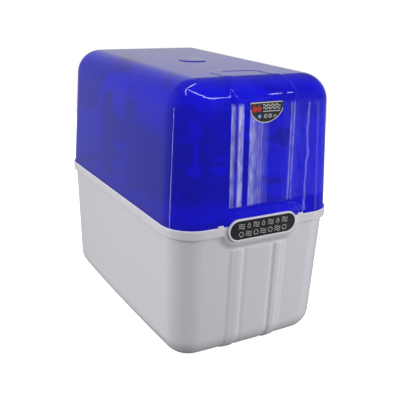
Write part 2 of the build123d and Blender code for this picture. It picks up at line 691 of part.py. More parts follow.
# ---- Pump ---------------------------------------------------------------------------------
def pump_motor_can():
    front_y, back_y = MOTOR_YS
    can = rod((PUMP_X, front_y, PUMP_Z), Y, MOTOR_R, back_y - front_y)
    can = fillet(can.edges().filter_by(GeomType.CIRCLE).sort_by(Axis.Y)[-1:], 4)
    can -= rod((PUMP_X, front_y + 3, PUMP_Z), Y, MOTOR_R - 2, back_y - front_y - 6)
    can -= rod((PUMP_X, front_y - 1, PUMP_Z), Y, 8.0, 12)
    can += pipe((PUMP_X, back_y - 9, PUMP_Z), Y, 12.0, 8.0, 6)
    can += pipe((PUMP_X, front_y + 3, PUMP_Z), Y, 12.0, 8.0, 3)
    return can


def pump_bearings():
    pair = Part()
    for y in (MOTOR_YS[0], MOTOR_YS[1] - 9):
        pair += pipe((PUMP_X, y, PUMP_Z), Y, 8.0, SHAFT_R + 0.05, 5)
    return pair


def pump_magnets():
    """Two magnets against the can's wall, with a gap above and below."""
    ring = pipe((PUMP_X, MOTOR_YS[0] + 16, PUMP_Z), Y, MOTOR_R - 2, MOTOR_R - 8, 48)
    for side in (-1, 1):
        gap_z = PUMP_Z + side * (MOTOR_R - 5)
        ring -= block((PUMP_X - 6, MOTOR_YS[0], gap_z - 8), (PUMP_X + 6, MOTOR_YS[1], gap_z + 8))
    return ring


def pump_rotor():
    rotor = rod((PUMP_X, -97, PUMP_Z), Y, SHAFT_R, MOTOR_YS[1] - 5 + 97)
    rotor += rod((PUMP_X, MOTOR_YS[0] + 20, PUMP_Z), Y, 18.0, 40)
    for i in range(6):
        angle = math.radians(60 * i)
        x = PUMP_X + 16.5 * math.cos(angle)
        z = PUMP_Z + 16.5 * math.sin(angle)
        rotor -= rod((x, MOTOR_YS[0] + 18, z), Y, 3.0, 44)
    rotor += rod((PUMP_X, MOTOR_YS[0] + 62, PUMP_Z), Y, 8.0, 7)
    return rotor


def pump_eccentric():
    """The off-centre hub on the shaft's end that rocks the diaphragm."""
    hub = rod((PUMP_X, ECCENTRIC_Y, PUMP_Z + 2), Y, 11.0, 9)
    return hub - rod((PUMP_X, ECCENTRIC_Y - 1, PUMP_Z), Y, SHAFT_R, 12)


def pump_diaphragm():
    face_y = VALVE_PLATE_Y + 3.5
    sheet = rod((PUMP_X, face_y, PUMP_Z), Y, DIAPHRAGM_R, 2.5)
    return sheet + rod((PUMP_X, face_y + 2.5, PUMP_Z), Y, 10.0, 0.5)


def pump_valve_plate():
    plate = rod((PUMP_X, VALVE_PLATE_Y, PUMP_Z), Y, DIAPHRAGM_R, 3.5)
    for i in range(3):
        angle = math.radians(90 + 120 * i)
        x = PUMP_X + 13 * math.cos(angle)
        z = PUMP_Z + 13 * math.sin(angle)
        plate -= rod((x, VALVE_PLATE_Y - 1, z), Y, 2.5, 8)
    return plate


def head_screw_places():
    reach = HEAD_SIZE / 2 - 6
    return [(PUMP_X + i * reach, PUMP_Z + j * reach) for i in (-1, 1) for j in (-1, 1)]


def pump_head():
    half = HEAD_SIZE / 2
    front_y, back_y = HEAD_YS
    head = block((PUMP_X - half, front_y, PUMP_Z - half), (PUMP_X + half, back_y, PUMP_Z + half))
    head = fillet(head.edges().filter_by(Axis.Y), 8)
    head -= rod((PUMP_X, VALVE_PLATE_Y, PUMP_Z), Y, DIAPHRAGM_R + 0.05, 60)
    for side in (-1, 1):
        head -= rod((pump_port_x(side), front_y - 1, PUMP_PORT_Z), Y, STEM_R, 12)
    for x, z in head_screw_places():
        head -= rod((x, front_y - 1, z), Y, 1.9, back_y - front_y + 2)
    return head


def pump_port_x(side):
    """The inlet is under the first filter, and the outlet is on the other side of the head."""
    return FILTER_XS[0] if side < 0 else PUMP_X + PUMP_PORT_X


def pump_head_screws():
    screws = Part()
    for x, z in head_screw_places():
        screws += rod((x, HEAD_YS[0] - 2.5, z), Y, 3.5, 2.5)
        screws += rod((x, HEAD_YS[0], z), Y, 1.85, MOTOR_YS[0] - HEAD_YS[0] - 0.2)
    return screws


def pump_bracket():
    """An angle plate: the head and motor bolt to its upright, and grommets carry its foot."""
    half = HEAD_SIZE / 2
    low_x = PUMP_X - half
    high_x = PUMP_X + half
    front_y = HEAD_YS[1]
    back_y = MOTOR_YS[0]
    upright = block((low_x, front_y, PUMP_Z - half), (high_x, back_y, PUMP_Z + half))
    upright = fillet(upright.edges().filter_by(Axis.Y).sort_by(Axis.Z)[-2:], 8)
    upright += block((low_x, front_y, BRACKET_Z), (high_x, back_y, PUMP_Z - half + 1))
    upright -= rod((PUMP_X, front_y - 1, PUMP_Z), Y, 6.0, 10)
    for x, z in head_screw_places():
        upright -= rod((x, front_y - 1, z), Y, 1.9, 10)
    foot = block((low_x, front_y, BRACKET_Z), (high_x, 0, BRACKET_Z + 2))
    for x in (PUMP_X - GROMMET_X, PUMP_X + GROMMET_X):
        for y in GROMMET_YS:
            foot -= rod((x, y, BRACKET_Z - 1), Z, 3.0, 5)
    return upright + foot


def pump_grommets():
    grommets = Part()
    for x in (PUMP_X - GROMMET_X, PUMP_X + GROMMET_X):
        for y in GROMMET_YS:
            grommets += rod((x, y, TRAY_Z + TRAY_T), Z, 5.0, BRACKET_Z - TRAY_Z - TRAY_T)
            grommets += rod((x, y, BRACKET_Z), Z, 3.0, 2)
            grommets += rod((x, y, BRACKET_Z + 2), Z, 4.5, 1.6)
    return grommets


# ---- Valves and switches ------------------------------------------------------------------
def solenoid_body():
    low = (SOLENOID_X - 15, LINE_Y - 11, FILTER_Z - 9)
    high = (SOLENOID_X + 15, LINE_Y + 11, FILTER_Z + 9)
    body = block(low, high)
    body = fillet(body.edges().filter_by(Axis.X), 3)
    body += pipe((SOLENOID_X, LINE_Y, FILTER_Z + 9), Z, 6.0, 4.3, 32)
    body += rod((SOLENOID_X, LINE_Y, FILTER_Z + 41), Z, 6.0, 2)
    body -= rod((SOLENOID_X, LINE_Y, FILTER_Z + 1), Z, 4.3, 9)
    body -= rod((SOLENOID_X - 16, LINE_Y, FILTER_Z), X, TUBE_R, 7)
    body -= rod((SOLENOID_X + 9, LINE_Y, FILTER_Z), X, TUBE_R, 7)
    body -= rod((SOLENOID_X - 10, LINE_Y, FILTER_Z), X, 1.5, 20)
    return body


def solenoid_coil():
    coil = rod((SOLENOID_X, LINE_Y, FILTER_Z + 10), Z, 14.5, 26)
    coil = fillet(coil.edges().filter_by(GeomType.CIRCLE), 2)
    terminal_low = (SOLENOID_X - 6, LINE_Y - 20, FILTER_Z + 16)
    terminal_high = (SOLENOID_X + 6, LINE_Y - 10, FILTER_Z + 30)
    coil += block(terminal_low, terminal_high)
    return coil - rod((SOLENOID_X, LINE_Y, FILTER_Z), Z, 6.0, 60)


def solenoid_plunger():
    return rod((SOLENOID_X, LINE_Y, FILTER_Z + 2), Z, 4.0, 22)


def solenoid_spring():
    """The closing spring between the plunger and the end of its tube."""
    low = FILTER_Z + 24.3
    high = FILTER_Z + 40.7
    wire = 0.45
    coil_r = 2.6
    height = high - low - 2 * wire
    path = Helix(pitch=height / 6, height=height, radius=coil_r)
    path = Pos(SOLENOID_X, LINE_Y, low + wire) * path
    start = path @ 0
    section = Plane(origin=start, z_dir=path % 0) * Circle(wire)
    return sweep(section, path=path)


def low_pressure_switch():
    low, high = SWITCH_ZS
    body = rod((FEED_X, LINE_Y, low), Z, FITTING_R, high - low)
    body += rod((FEED_X, LINE_Y, low + 8), Z, 13.0, 18)
    body += block((FEED_X - 3, LINE_Y - 20, low + 12), (FEED_X + 3, LINE_Y - 10, low + 22))
    body -= rod((FEED_X, LINE_Y, low - 1), Z, TUBE_R, 8)
    body -= rod((FEED_X, LINE_Y, high - 7), Z, TUBE_R, 8)
    return body - rod((FEED_X, LINE_Y, low), Z, 1.5, high - low)


def high_pressure_switch():
    base_z = PERMEATE_Z + ELBOW_LEG
    body = rod((POST_FILTER_X, LINE_Y, base_z - 6), Z, STEM_R, 8)
    body += rod((POST_FILTER_X, LINE_Y, base_z), Z, 12.0, 22)
    return body + rod((POST_FILTER_X, LINE_Y, base_z + 22), Z, 8.0, 8)


def line_cross():
    """The four-way fitting where permeate, tank, post filter and high-pressure switch meet."""
    centre = (POST_FILTER_X, LINE_Y, PERMEATE_Z)
    body = Pos(*centre) * Sphere(FITTING_R)
    for direction in (X, LEFT, FRONT, Z):
        body += rod(centre, direction, FITTING_R, ELBOW_LEG)
    for direction in (X, LEFT, FRONT):
        body -= rod(socket_end(centre, direction), direction, TUBE_R, SOCKET_DEPTH + 1)
        body -= rod(centre, direction, TUBE_R - TUBE_WALL, ELBOW_LEG)
    return body - rod(shift(centre, Z, ELBOW_LEG - 6), Z, STEM_R, 10)


def check_valve():
    low, high = CHECK_XS
    body = rod((low, LINE_Y, PERMEATE_Z), X, FITTING_R, high - low)
    body -= rod((low - 1, LINE_Y, PERMEATE_Z), X, TUBE_R, 7)
    body -= rod((high - 6, LINE_Y, PERMEATE_Z), X, TUBE_R, 7)
    return body - rod((low, LINE_Y, PERMEATE_Z), X, 1.5, high - low)


def flow_restrictor():
    low, high = RESTRICTOR_ZS
    body = rod((DRAIN_X, LINE_Y, low), Z, FITTING_R, high - low)
    body -= rod((DRAIN_X, LINE_Y, low - 1), Z, TUBE_R, 7)
    body -= rod((DRAIN_X, LINE_Y, high - 6), Z, TUBE_R, 7)
    return body - rod((DRAIN_X, LINE_Y, low), Z, 0.8, high - low)


# ---- Back panel ---------------------------------------------------------------------------
def bulkhead(x):
    """A push-fit port through the back panel, with its socket facing out and a seat inside."""
    body = rod((x, RECESS_Y - 14, PORT_Z), Y, BULKHEAD_R, 31)
    body += Plane(origin=(x, RECESS_Y, PORT_Z), z_dir=Y) * extrude(RegularPolygon(10.5, 6), amount=4)
    body += rod((x, RECESS_Y + 4, PORT_Z), Y, 7.5, 13)
    body -= rod((x, RECESS_Y - 5, PORT_Z), Y, PORT_BORE_R, 40)
    body -= rod((x, RECESS_Y + 9, PORT_Z), Y, 4.9, 20)
    body -= rod((x, RECESS_Y - 17, PORT_Z), Y, STEM_R, 9)
    return body - rod((x, RECESS_Y - 17, PORT_Z), Y, 2.0, 20)


def bulkhead_fittings():
    return bulkhead(FEED_X) + bulkhead(PRODUCT_X) + bulkhead(DRAIN_X)


def bulkhead_nuts():
    nuts = Part()
    for x in (FEED_X, PRODUCT_X, DRAIN_X, JACK_X):
        place = Plane(origin=(x, RECESS_Y - TUB_WALL - 5, PORT_Z), z_dir=Y)
        nut = place * extrude(RegularPolygon(10.0, 6), amount=5)
        nuts += nut - rod((x, RECESS_Y - 10, PORT_Z), Y, BULKHEAD_R, 12)
    return nuts


def collet(x):
    """The release ring of a push-fit port. It is pressed in to free the tube."""
    mouth_y = HALF_DEPTH - COLLET_HEAD
    ring = rod((x, RECESS_Y + 10.7, PORT_Z), Y, 4.6, HALF_DEPTH - RECESS_Y - 10.7)
    ring += rod((x, mouth_y, PORT_Z), Y, 6.6, COLLET_HEAD)
    return ring - rod((x, RECESS_Y, PORT_Z), Y, PORT_BORE_R + 0.1, 40)


def power_inlet():
    """A round low-voltage socket with a centre pin."""
    body = rod((JACK_X, RECESS_Y - 14, PORT_Z), Y, BULKHEAD_R, 14)
    body += rod((JACK_X, RECESS_Y, PORT_Z), Y, 8.5, 3)
    body -= rod((JACK_X, RECESS_Y - 9, PORT_Z), Y, 2.8, 20)
    return body + rod((JACK_X, RECESS_Y - 10, PORT_Z), Y, 1.05, 11)


# ---- Pipework -----------------------------------------------------------------------------
def push_fit_elbows():
    """Every elbow in the water line. Each is a separate solid."""
    line_top = (FEED_X, LINE_Y, FILTER_Z)
    line_end = (FILTER_XS[2], LINE_Y, FILTER_Z)
    nose_front = abs(LINK_FRONT_Y - FILTER_FRONT_Y) - CAP_LENGTH
    nose_back = LINK_BACK_Y - FILTER_BACK_Y - CAP_LENGTH
    elbows = Part()
    for x in (FEED_X, PRODUCT_X, DRAIN_X):
        elbows += elbow((x, LINE_Y, PORT_Z), Y, Z, stem=RECESS_Y - 8 - LINE_Y)
    elbows += elbow(line_top, DOWN, X)
    elbows += elbow(line_end, FRONT, LEFT, stem=LINE_Y - FILTER_BACK_Y - CAP_LENGTH)
    elbows += elbow((FILTER_XS[2], LINK_FRONT_Y, FILTER_Z), Y, LEFT, stem=nose_front)
    elbows += elbow((FILTER_XS[1], LINK_FRONT_Y, FILTER_Z), Y, X, stem=nose_front)
    elbows += elbow((FILTER_XS[1], LINK_BACK_Y, FILTER_Z), FRONT, LEFT, stem=nose_back)
    elbows += elbow((FILTER_XS[0], LINK_BACK_Y, FILTER_Z), FRONT, X, stem=nose_back)
    elbows += elbow((FILTER_XS[0], LINK_FRONT_Y, FILTER_Z), Y, DOWN, stem=nose_front)
    pump_reach = HEAD_YS[0] + 6 - LINK_FRONT_Y
    elbows += elbow((pump_port_x(-1), LINK_FRONT_Y, PUMP_PORT_Z), Y, Z, stem=pump_reach)
    elbows += elbow((pump_port_x(1), LINK_FRONT_Y, PUMP_PORT_Z), Y, X, stem=pump_reach)
    cap_reach = MEMBRANE_CAP_Y + 8 - MEMBRANE_FRONT_Y
    elbows += elbow((MEMBRANE_X, MEMBRANE_FRONT_Y, MEMBRANE_Z), Y, LEFT, stem=cap_reach)
    port_reach = LINE_Y - MEMBRANE_YS[1] + 8
    elbows += elbow((PERMEATE_X, LINE_Y, PERMEATE_Z), FRONT, LEFT, stem=port_reach)
    elbows += elbow((BRINE_X, LINE_Y, BRINE_Z), FRONT, DOWN, stem=port_reach)
    elbows += elbow((TANK_TUBE_X, LINE_Y, PERMEATE_Z), X, DOWN)
    elbows += elbow((TANK_TUBE_X, TANK_VALVE_Y, TANK_Z), X, Z, stem=-TANK_TUBE_X - 20 + 6)
    elbows += elbow(POST_FRONT, Y, DOWN, stem=POST_FILTER_YS[0] - CAP_LENGTH - POST_FRONT[1])
    elbows += elbow((POST_FRONT[0], POST_FRONT[1], RETURN_Z), Z, X)
    elbows += elbow((PRODUCT_X, POST_FRONT[1], RETURN_Z), LEFT, Y)
    elbows += elbow((PRODUCT_X, LINE_Y, RETURN_Z), FRONT, DOWN)
    return elbows


def link(corner_a, direction_a, corner_b, direction_b):
    """A straight tube between the sockets of two elbows."""
    return straight_tube(socket_end(corner_a, direction_a), socket_end(corner_b, direction_b))


def feed_tubes():
    """White tubes, from the feed port to the pump."""
    low, high = SWITCH_ZS
    line_top = (FEED_X, LINE_Y, FILTER_Z)
    port = socket_end((FEED_X, LINE_Y, PORT_Z), Z)
    tubes = straight_tube(port, (FEED_X, LINE_Y, low + 7))
    tubes += straight_tube((FEED_X, LINE_Y, high - 7), socket_end(line_top, DOWN))
    return tubes


def filter_tubes():
    """White tubes between the filters, the solenoid valve and the pump."""
    line_top = (FEED_X, LINE_Y, FILTER_Z)
    line_end = (FILTER_XS[2], LINE_Y, FILTER_Z)
    left, middle, right = FILTER_XS
    tubes = straight_tube((SOLENOID_X + 9, LINE_Y, FILTER_Z), socket_end(line_end, LEFT))
    tubes += straight_tube(socket_end(line_top, X), (SOLENOID_X - 9, LINE_Y, FILTER_Z))
    tubes += link((middle, LINK_FRONT_Y, FILTER_Z), X, (right, LINK_FRONT_Y, FILTER_Z), LEFT)
    tubes += link((left, LINK_BACK_Y, FILTER_Z), X, (middle, LINK_BACK_Y, FILTER_Z), LEFT)
    tubes += link((left, LINK_FRONT_Y, PUMP_PORT_Z), Z, (left, LINK_FRONT_Y, FILTER_Z), DOWN)
    return tubes


def pressure_tube():
    """Red tube from the pump's outlet to the membrane housing's cap."""
    start = socket_end((pump_port_x(1), LINK_FRONT_Y, PUMP_PORT_Z), X)
    end = socket_end((MEMBRANE_X, MEMBRANE_FRONT_Y, MEMBRANE_Z), LEFT)
    points = [
        start,
        (start[0] + 26, LINK_FRONT_Y, PUMP_PORT_Z),
        (end[0] - 28, MEMBRANE_FRONT_Y, MEMBRANE_Z),
        end,
    ]
    return bent_tube(points, "pressure_tube")


def permeate_tubes():
    """Blue tubes from the membrane through the check valve to the cross, and on to the post filter."""
    cross = (POST_FILTER_X, LINE_Y, PERMEATE_Z)
    low, high = CHECK_XS
    corner = (PERMEATE_X, LINE_Y, PERMEATE_Z)
    tubes = straight_tube((high - 6, LINE_Y, PERMEATE_Z), socket_end(corner, LEFT))
    tubes += straight_tube(socket_end(cross, X), (low + 6, LINE_Y, PERMEATE_Z))
    nose = (POST_FILTER_X, POST_FILTER_YS[1] + CAP_LENGTH, PERMEATE_Z)
    tubes += straight_tube(nose, socket_end(cross, FRONT))
    return tubes


def product_tubes():
    """Blue tubes from the post filter back under the tray's edge to the product port."""
    near = (POST_FRONT[0], POST_FRONT[1], RETURN_Z)
    turn = (PRODUCT_X, POST_FRONT[1], RETURN_Z)
    far = (PRODUCT_X, LINE_Y, RETURN_Z)
    tubes = link(POST_FRONT, DOWN, near, Z)
    tubes += link(near, X, turn, LEFT)
    tubes += link(turn, Y, far, FRONT)
    tubes += link((PRODUCT_X, LINE_Y, PORT_Z), Z, far, DOWN)
    return tubes


def tank_tubes():
    """Yellow tubes between the cross and the tank's valve."""
    top = (TANK_TUBE_X, LINE_Y, PERMEATE_Z)
    low = (TANK_TUBE_X, TANK_VALVE_Y, TANK_Z)
    tubes = link(top, X, (POST_FILTER_X, LINE_Y, PERMEATE_Z), LEFT)
    return tubes + link(low, Z, top, DOWN)


def drain_tubes():
    """Black tubes from the membrane's brine port through the restrictor to the drain port."""
    low, high = RESTRICTOR_ZS
    port = socket_end((DRAIN_X, LINE_Y, PORT_Z), Z)
    brine = socket_end((BRINE_X, LINE_Y, BRINE_Z), DOWN)
    tubes = straight_tube(port, (DRAIN_X, LINE_Y, low + 6))
    tubes += straight_tube((DRAIN_X, LINE_Y, high - 6), brine)
    return tubes


# ---- Build --------------------------------------------------------------------------------
def all_nodes():
    front_half, back_half = tank_halves()
    nodes = {
        "base_tub": base_tub(),
        "cover": cover(),
        "badge_bezel": badge_bezel(),
        "badge_plate": badge_plate(),
        "front_label": front_label(),
        "rubber_feet": rubber_feet(),
        "tank_front_shell": front_half,
        "tank_back_shell": back_half,
        "tank_bladder": tank_bladder(),
        "tank_port": tank_port(),
        "tank_air_valve": tank_air_valve(),
        "tank_air_valve_cap": tank_air_valve_cap(),
        "tank_valve_body": tank_valve_body(),
        "tank_valve_ball": tank_valve_ball(),
        "tank_valve_lever": tank_valve_lever(),
        "tank_cradles": tank_cradles(),
        "tray": tray(),
        "tray_screws": tray_screws(),
        "filter_rack": filter_rack(),
        "sediment_filter": prefilter(FILTER_XS[2]),
        "carbon_filter": prefilter(FILTER_XS[1]),
        "carbon_block_filter": prefilter(FILTER_XS[0]),
        "post_carbon_filter": post_filter(),
        "filter_end_caps": filter_end_caps(),
        "membrane_housing": membrane_housing(),
        "membrane_cap": membrane_cap(),
        "membrane_cap_seal": membrane_cap_seal(),
        "membrane_element": membrane_element(),
        "filter_clips": post_filter_clips() + membrane_clips(),
        "pump_motor_can": Compound(children=[pump_motor_can(), pump_magnets()]),
        "pump_bearings": pump_bearings(),
        "pump_rotor": pump_rotor(),
        "pump_eccentric": pump_eccentric(),
        "pump_diaphragm": pump_diaphragm(),
        "pump_valve_plate": pump_valve_plate(),
        "pump_head": pump_head(),
        "pump_head_screws": pump_head_screws(),
        "pump_bracket": pump_bracket(),
        "pump_grommets": pump_grommets(),
        "solenoid_body": solenoid_body(),
        "solenoid_coil": solenoid_coil(),
        "solenoid_plunger": solenoid_plunger(),
        "solenoid_spring": solenoid_spring(),
        "low_pressure_switch": low_pressure_switch(),
        "high_pressure_switch": high_pressure_switch(),
        "line_cross": line_cross(),
        "check_valve": check_valve(),
        "flow_restrictor": flow_restrictor(),
        "bulkhead_fittings": bulkhead_fittings(),
        "bulkhead_nuts": bulkhead_nuts(),
        "feed_collet": collet(FEED_X),
        "product_collet": collet(PRODUCT_X),
        "drain_collet": collet(DRAIN_X),
        "power_inlet": power_inlet(),
        "push_fit_elbows": push_fit_elbows(),
        "feed_tubes": feed_tubes() + filter_tubes(),
        "pressure_tube": pressure_tube(),
        "permeate_tubes": permeate_tubes() + product_tubes(),
        "tank_tubes": tank_tubes(),
        "drain_tubes": drain_tubes(),
    }
    return nodes


os.makedirs("parts", exist_ok=True)
for name, shape in all_nodes().items():
    export_step(shape, "parts/" + name + ".step")
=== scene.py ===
import math

import bmesh
import bpy
import numpy as np
from mathutils import Matrix, Vector


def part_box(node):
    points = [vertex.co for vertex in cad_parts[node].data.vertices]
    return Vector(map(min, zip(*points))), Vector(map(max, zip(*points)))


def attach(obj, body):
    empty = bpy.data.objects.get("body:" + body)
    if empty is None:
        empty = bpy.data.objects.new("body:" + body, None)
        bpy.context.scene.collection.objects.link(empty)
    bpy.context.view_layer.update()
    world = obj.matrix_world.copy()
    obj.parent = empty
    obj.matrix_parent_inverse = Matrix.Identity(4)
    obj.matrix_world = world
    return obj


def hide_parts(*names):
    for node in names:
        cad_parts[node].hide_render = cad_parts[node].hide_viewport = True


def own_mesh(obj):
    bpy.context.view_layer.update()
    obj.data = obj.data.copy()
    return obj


# Looks of a reverse osmosis unit in a closed two-part case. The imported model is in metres;
# the case's surfaces below are worked out in millimetres and scaled when their mesh is made.
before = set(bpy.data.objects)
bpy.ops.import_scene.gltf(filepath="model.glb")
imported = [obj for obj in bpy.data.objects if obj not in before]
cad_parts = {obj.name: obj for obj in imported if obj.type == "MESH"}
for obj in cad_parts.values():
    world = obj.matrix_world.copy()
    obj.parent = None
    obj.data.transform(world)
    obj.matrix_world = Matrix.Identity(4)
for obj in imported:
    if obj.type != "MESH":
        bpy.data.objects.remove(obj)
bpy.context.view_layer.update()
MM = 0.001

# ---- Case dimensions, in millimetres ----
CORNER_R = 41.0
COVER_HALF_W = 125.5
COVER_HALF_L = 200.0
JOINT_Z = 196.0
LEDGE_Z = 190.0
COVER_TOP_Z = 379.0
COVER_DRAFT = 0.043
COVER_WALL = 2.6
TOP_FILLET = 37.0
TUB_HALF_W = 123.5
TUB_HALF_L = 198.0
TUB_CORNER_R = 39.0
TUB_DRAFT = 0.023
TUB_WALL = 3.0
TUB_LOW_Z = 2.0
FLOOR_FILLET = 33.0
RIM_LOW_Z = 183.0
BADGE_Z = 189.2
BADGE_HALF_W = 53.5
BADGE_HALF_H = 15.2
LOOP_HALF_W = 35.75      # centre line of the rib, seen from the front
LOOP_BACK_Y = -114.75    # centre line of the rib where it closes on the top
LOOP_R = 21.0
RIB_LOW_Z = 218.0
TUB_RIB_TOP_Z = 160.0

# ---- Details of the case, in millimetres ----
RIB_ZONE_HALF_W = 66.0   # the ribs and the panel stay inside this half width
COVER_RIB_BACK_Y = -95.0
TUB_RIB_BACK_Y = -110.0
BADGE_ZONE_Y = -190.0    # the collar and the pad stay in front of this
COLLAR_FACE_Y = -203.2   # the collar round the badge, on the cover
COLLAR_HEIGHT = 3.0
COLLAR_REACH = 11.5
PAD_FACE_Y = -203.3      # the pad round the badge, on the tub
PAD_HEIGHT = 5.6
PAD_REACH = 14.0
NOTCH_LOW = (-54.0, -215.0, 173.6)
NOTCH_HIGH = (54.0, -193.0, 204.8)
NOTCH_R = 15.5
DISC_R = 20.0
DISC_Y = -2.0
LABEL_TOP_Z = 351.5
LABEL_R = 27.0
LABEL_HALF_W = 24.5
LABEL_THICKNESS = 0.3
RECESS_HALF_W = 90.0
RECESS_LOW_Z = 124.0
RECESS_HIGH_Z = 172.0
RECESS_R = 5.0
PANEL_LAP = 3.0          # the recess panel's edge, round the recess
PANEL_BACK_Y = 197.6
PORT_HOLE_R = 6.0
POST_R = 6.0
POST_INSET = 3.8         # a tray screw's centre, inside the screws' box
POST_LOW_Z = 24.0
POST_TOP_Z = 195.9
TAB_X = 63.0
TAB_HALF_W = 4.0
SLEEVE_ENDS = (-4.0, 54.0)
STRIPE_ENDS = (4.0, 14.0)


# ---- Small numeric helpers ----
def smooth(value, low, high):
    """0 below low, 1 above high, and an even S curve between."""
    t = np.clip((np.asarray(value, float) - low) / (high - low), 0.0, 1.0)
    return t * t * (3 - 2 * t)


def steps(low, high, size):
    """Evenly spaced values from low to high, about size apart."""
    return list(np.linspace(low, high, max(2, int(round((high - low) / size)) + 1)))


def stadium_distance(x, z, half_w, half_h):
    """Distance outside a slot shape that is wider than it is high."""
    along = np.maximum(np.abs(x) - (half_w - half_h), 0.0)
    return np.hypot(along, z) - half_h


def loop_distance(x, y):
    """Place across the rib's loop, seen from above: |x| on the front, and the same round its back."""
    dx = np.abs(x) - (LOOP_HALF_W - LOOP_R)
    dy = y - (LOOP_BACK_Y - LOOP_R)
    inside = np.maximum(dx, dy)
    outside = np.hypot(np.maximum(dx, 0), np.maximum(dy, 0))
    return LOOP_HALF_W - LOOP_R + np.where((dx > 0) & (dy > 0), outside, inside)


# Height of the stepped rib and of the dished panel inside it, across the loop: (place, height) in mm.
RIB_PROFILE = [(0, 0.0), (5, 0.1), (10, 0.36), (15, 0.84), (20, 1.55), (24, 2.2), (26, 2.3),
               (32.5, 2.2), (33.5, 2.3), (41.2, 3.45), (45.8, 3.4), (49, 0.0), (70, 0.0)]
TUB_RIB_PROFILE = [(0, 0.7), (18.5, 0.8), (21.5, 0.3), (24, 0.3), (27.5, 1.8), (33.5, 1.9),
                   (38.5, 1.3), (41, 1.2), (45.5, 0.0), (70, 0.0)]
TOP_RIB_PROFILE = [(0, 0.3), (27, 0.3), (29.5, 0.75), (42, 0.75), (45.5, 0.0), (70, 0.0)]


def rib_height(place, profile):
    """The rib's height, with its edges rounded by a short moving average."""
    places, heights = zip(*profile)
    total = 0.0
    for offset in (-0.9, -0.45, 0.0, 0.45, 0.9):
        total = total + np.interp(np.abs(place + offset), places, heights)
    return total / 5


# ---- Shell surfaces ----
FRONT_XS = sorted(
    set(
        steps(-66, -50, 4) + steps(-50, -19, 0.8) + steps(-19, 19, 2.2)
        + steps(19, 50, 0.8) + steps(50, 66, 4)
    )
)
COVER_YS = sorted(set(steps(-147, -137, 5) + steps(-137, -98, 1.0) + steps(-98, 147, 12)))
TUB_YS = steps(-152, 152, 9)
CORNER_STEPS = 18
TINY = 1e-4              # a corner radius that is as good as sharp


def mesh_of(name, points, faces, weld=False):
    """A mesh from points in millimetres, with its faces turned outwards."""
    made = bpy.data.meshes.new(name)
    made.from_pydata(np.asarray(points) * MM, [], faces)
    work = bmesh.new()
    work.from_mesh(made)
    if weld:
        bmesh.ops.remove_doubles(work, verts=work.verts, dist=1e-6)
        bmesh.ops.dissolve_degenerate(work, edges=work.edges, dist=1e-7)
    bmesh.ops.recalc_face_normals(work, faces=work.faces)
    work.to_mesh(made)
    work.free()
    return made


def block_mesh(name, low, high, radius, segments, round_axis=None):
    """A box between two corners in mm, with all its edges rounded, or only those along one axis."""
    work = bmesh.new()
    bmesh.ops.create_cube(work, size=1.0)
    for vert in work.verts:
        spot = [((high[i] - low[i]) * vert.co[i] + (high[i] + low[i]) / 2) * MM for i in range(3)]
        vert.co = spot
    edges = list(work.edges)
    if round_axis is not None:
        edges = [e for e in edges if abs((e.verts[0].co - e.verts[1].co)[round_axis]) > 1e-6]
    bmesh.ops.bevel(work, geom=edges, offset=radius * MM, segments=segments, profile=0.5, affect="EDGES")
    mesh = bpy.data.meshes.new(name)
    work.to_mesh(mesh)
    work.free()
    return mesh


def ring(half_w, half_l, corner, ys, bow_x=0.0, bow_y=0.0):
    """Points and outward normals of a rounded rectangle, anticlockwise from the front left corner."""
    end_x = half_w - corner
    end_y = half_l - corner
    xs = np.array([-end_x] + FRONT_XS + [end_x])
    sides = np.array([-end_y] + list(ys) + [end_y])
    curve_x = bow_x * (1 - (sides / end_y) ** 2)
    curve_y = bow_y * (1 - (xs / end_x) ** 2)
    points = []
    normals = []

    def side(px, py, nx, ny):
        points.extend(zip(px, py))
        normals.extend([(nx, ny)] * len(px))

    def turn(cx, cy, start):
        for i in range(1, CORNER_STEPS):
            angle = math.radians(start + 90 * i / CORNER_STEPS)
            points.append((cx + corner * math.cos(angle), cy + corner * math.sin(angle)))
            normals.append((math.cos(angle), math.sin(angle)))

    side(xs, -half_l - curve_y, 0, -1)
    turn(end_x, -end_y, -90)
    side(half_w + curve_x, sides, 1, 0)
    turn(end_x, end_y, 0)
    side(xs[::-1], half_l + curve_y[::-1], 0, 1)
    turn(-end_x, end_y, 90)
    side((-half_w - curve_x)[::-1], sides[::-1], -1, 0)
    turn(-end_x, -end_y, 180)
    return np.array(points), np.array(normals)


def cap_grid(half_w, half_l, corner, ys, z):
    """The flat middle of a shell's top or bottom, as rows of points."""
    end_x = half_w - corner
    end_y = half_l - corner
    xs = [-end_x] + FRONT_XS + [end_x]
    sides = [-end_y] + list(ys) + [end_y]
    return np.array([[(x, y, z) for x in xs] for y in sides])


class Shell:
    """Collects rings and caps of points, and makes one welded mesh of them."""

    def __init__(self):
        self.points = []
        self.faces = []
        self.count = 0

    def add_rings(self, rings, flip=False):
        size = len(rings[0])
        base = self.count
        self.points.extend(rings)
        for i in range(len(rings) - 1):
            low = base + i * size
            high = low + size
            for j in range(size):
                k = (j + 1) % size
                face = (low + j, low + k, high + k, high + j)
                self.faces.append(face[::-1] if flip else face)
        self.count += size * len(rings)

    def add_cap(self, grid, flip=False):
        rows, columns = grid.shape[:2]
        base = self.count
        self.points.append(grid.reshape(-1, 3))
        for i in range(rows - 1):
            for j in range(columns - 1):
                a = base + i * columns + j
                face = (a, a + 1, a + columns + 1, a + columns)
                self.faces.append(face[::-1] if flip else face)
        self.count += rows * columns

    def mesh(self, name):
        return mesh_of(name, np.concatenate(self.points), self.faces, weld=True)


def lift(points, normals, height):
    """Points moved along their normals."""
    return points + normals * np.asarray(height)[:, None]


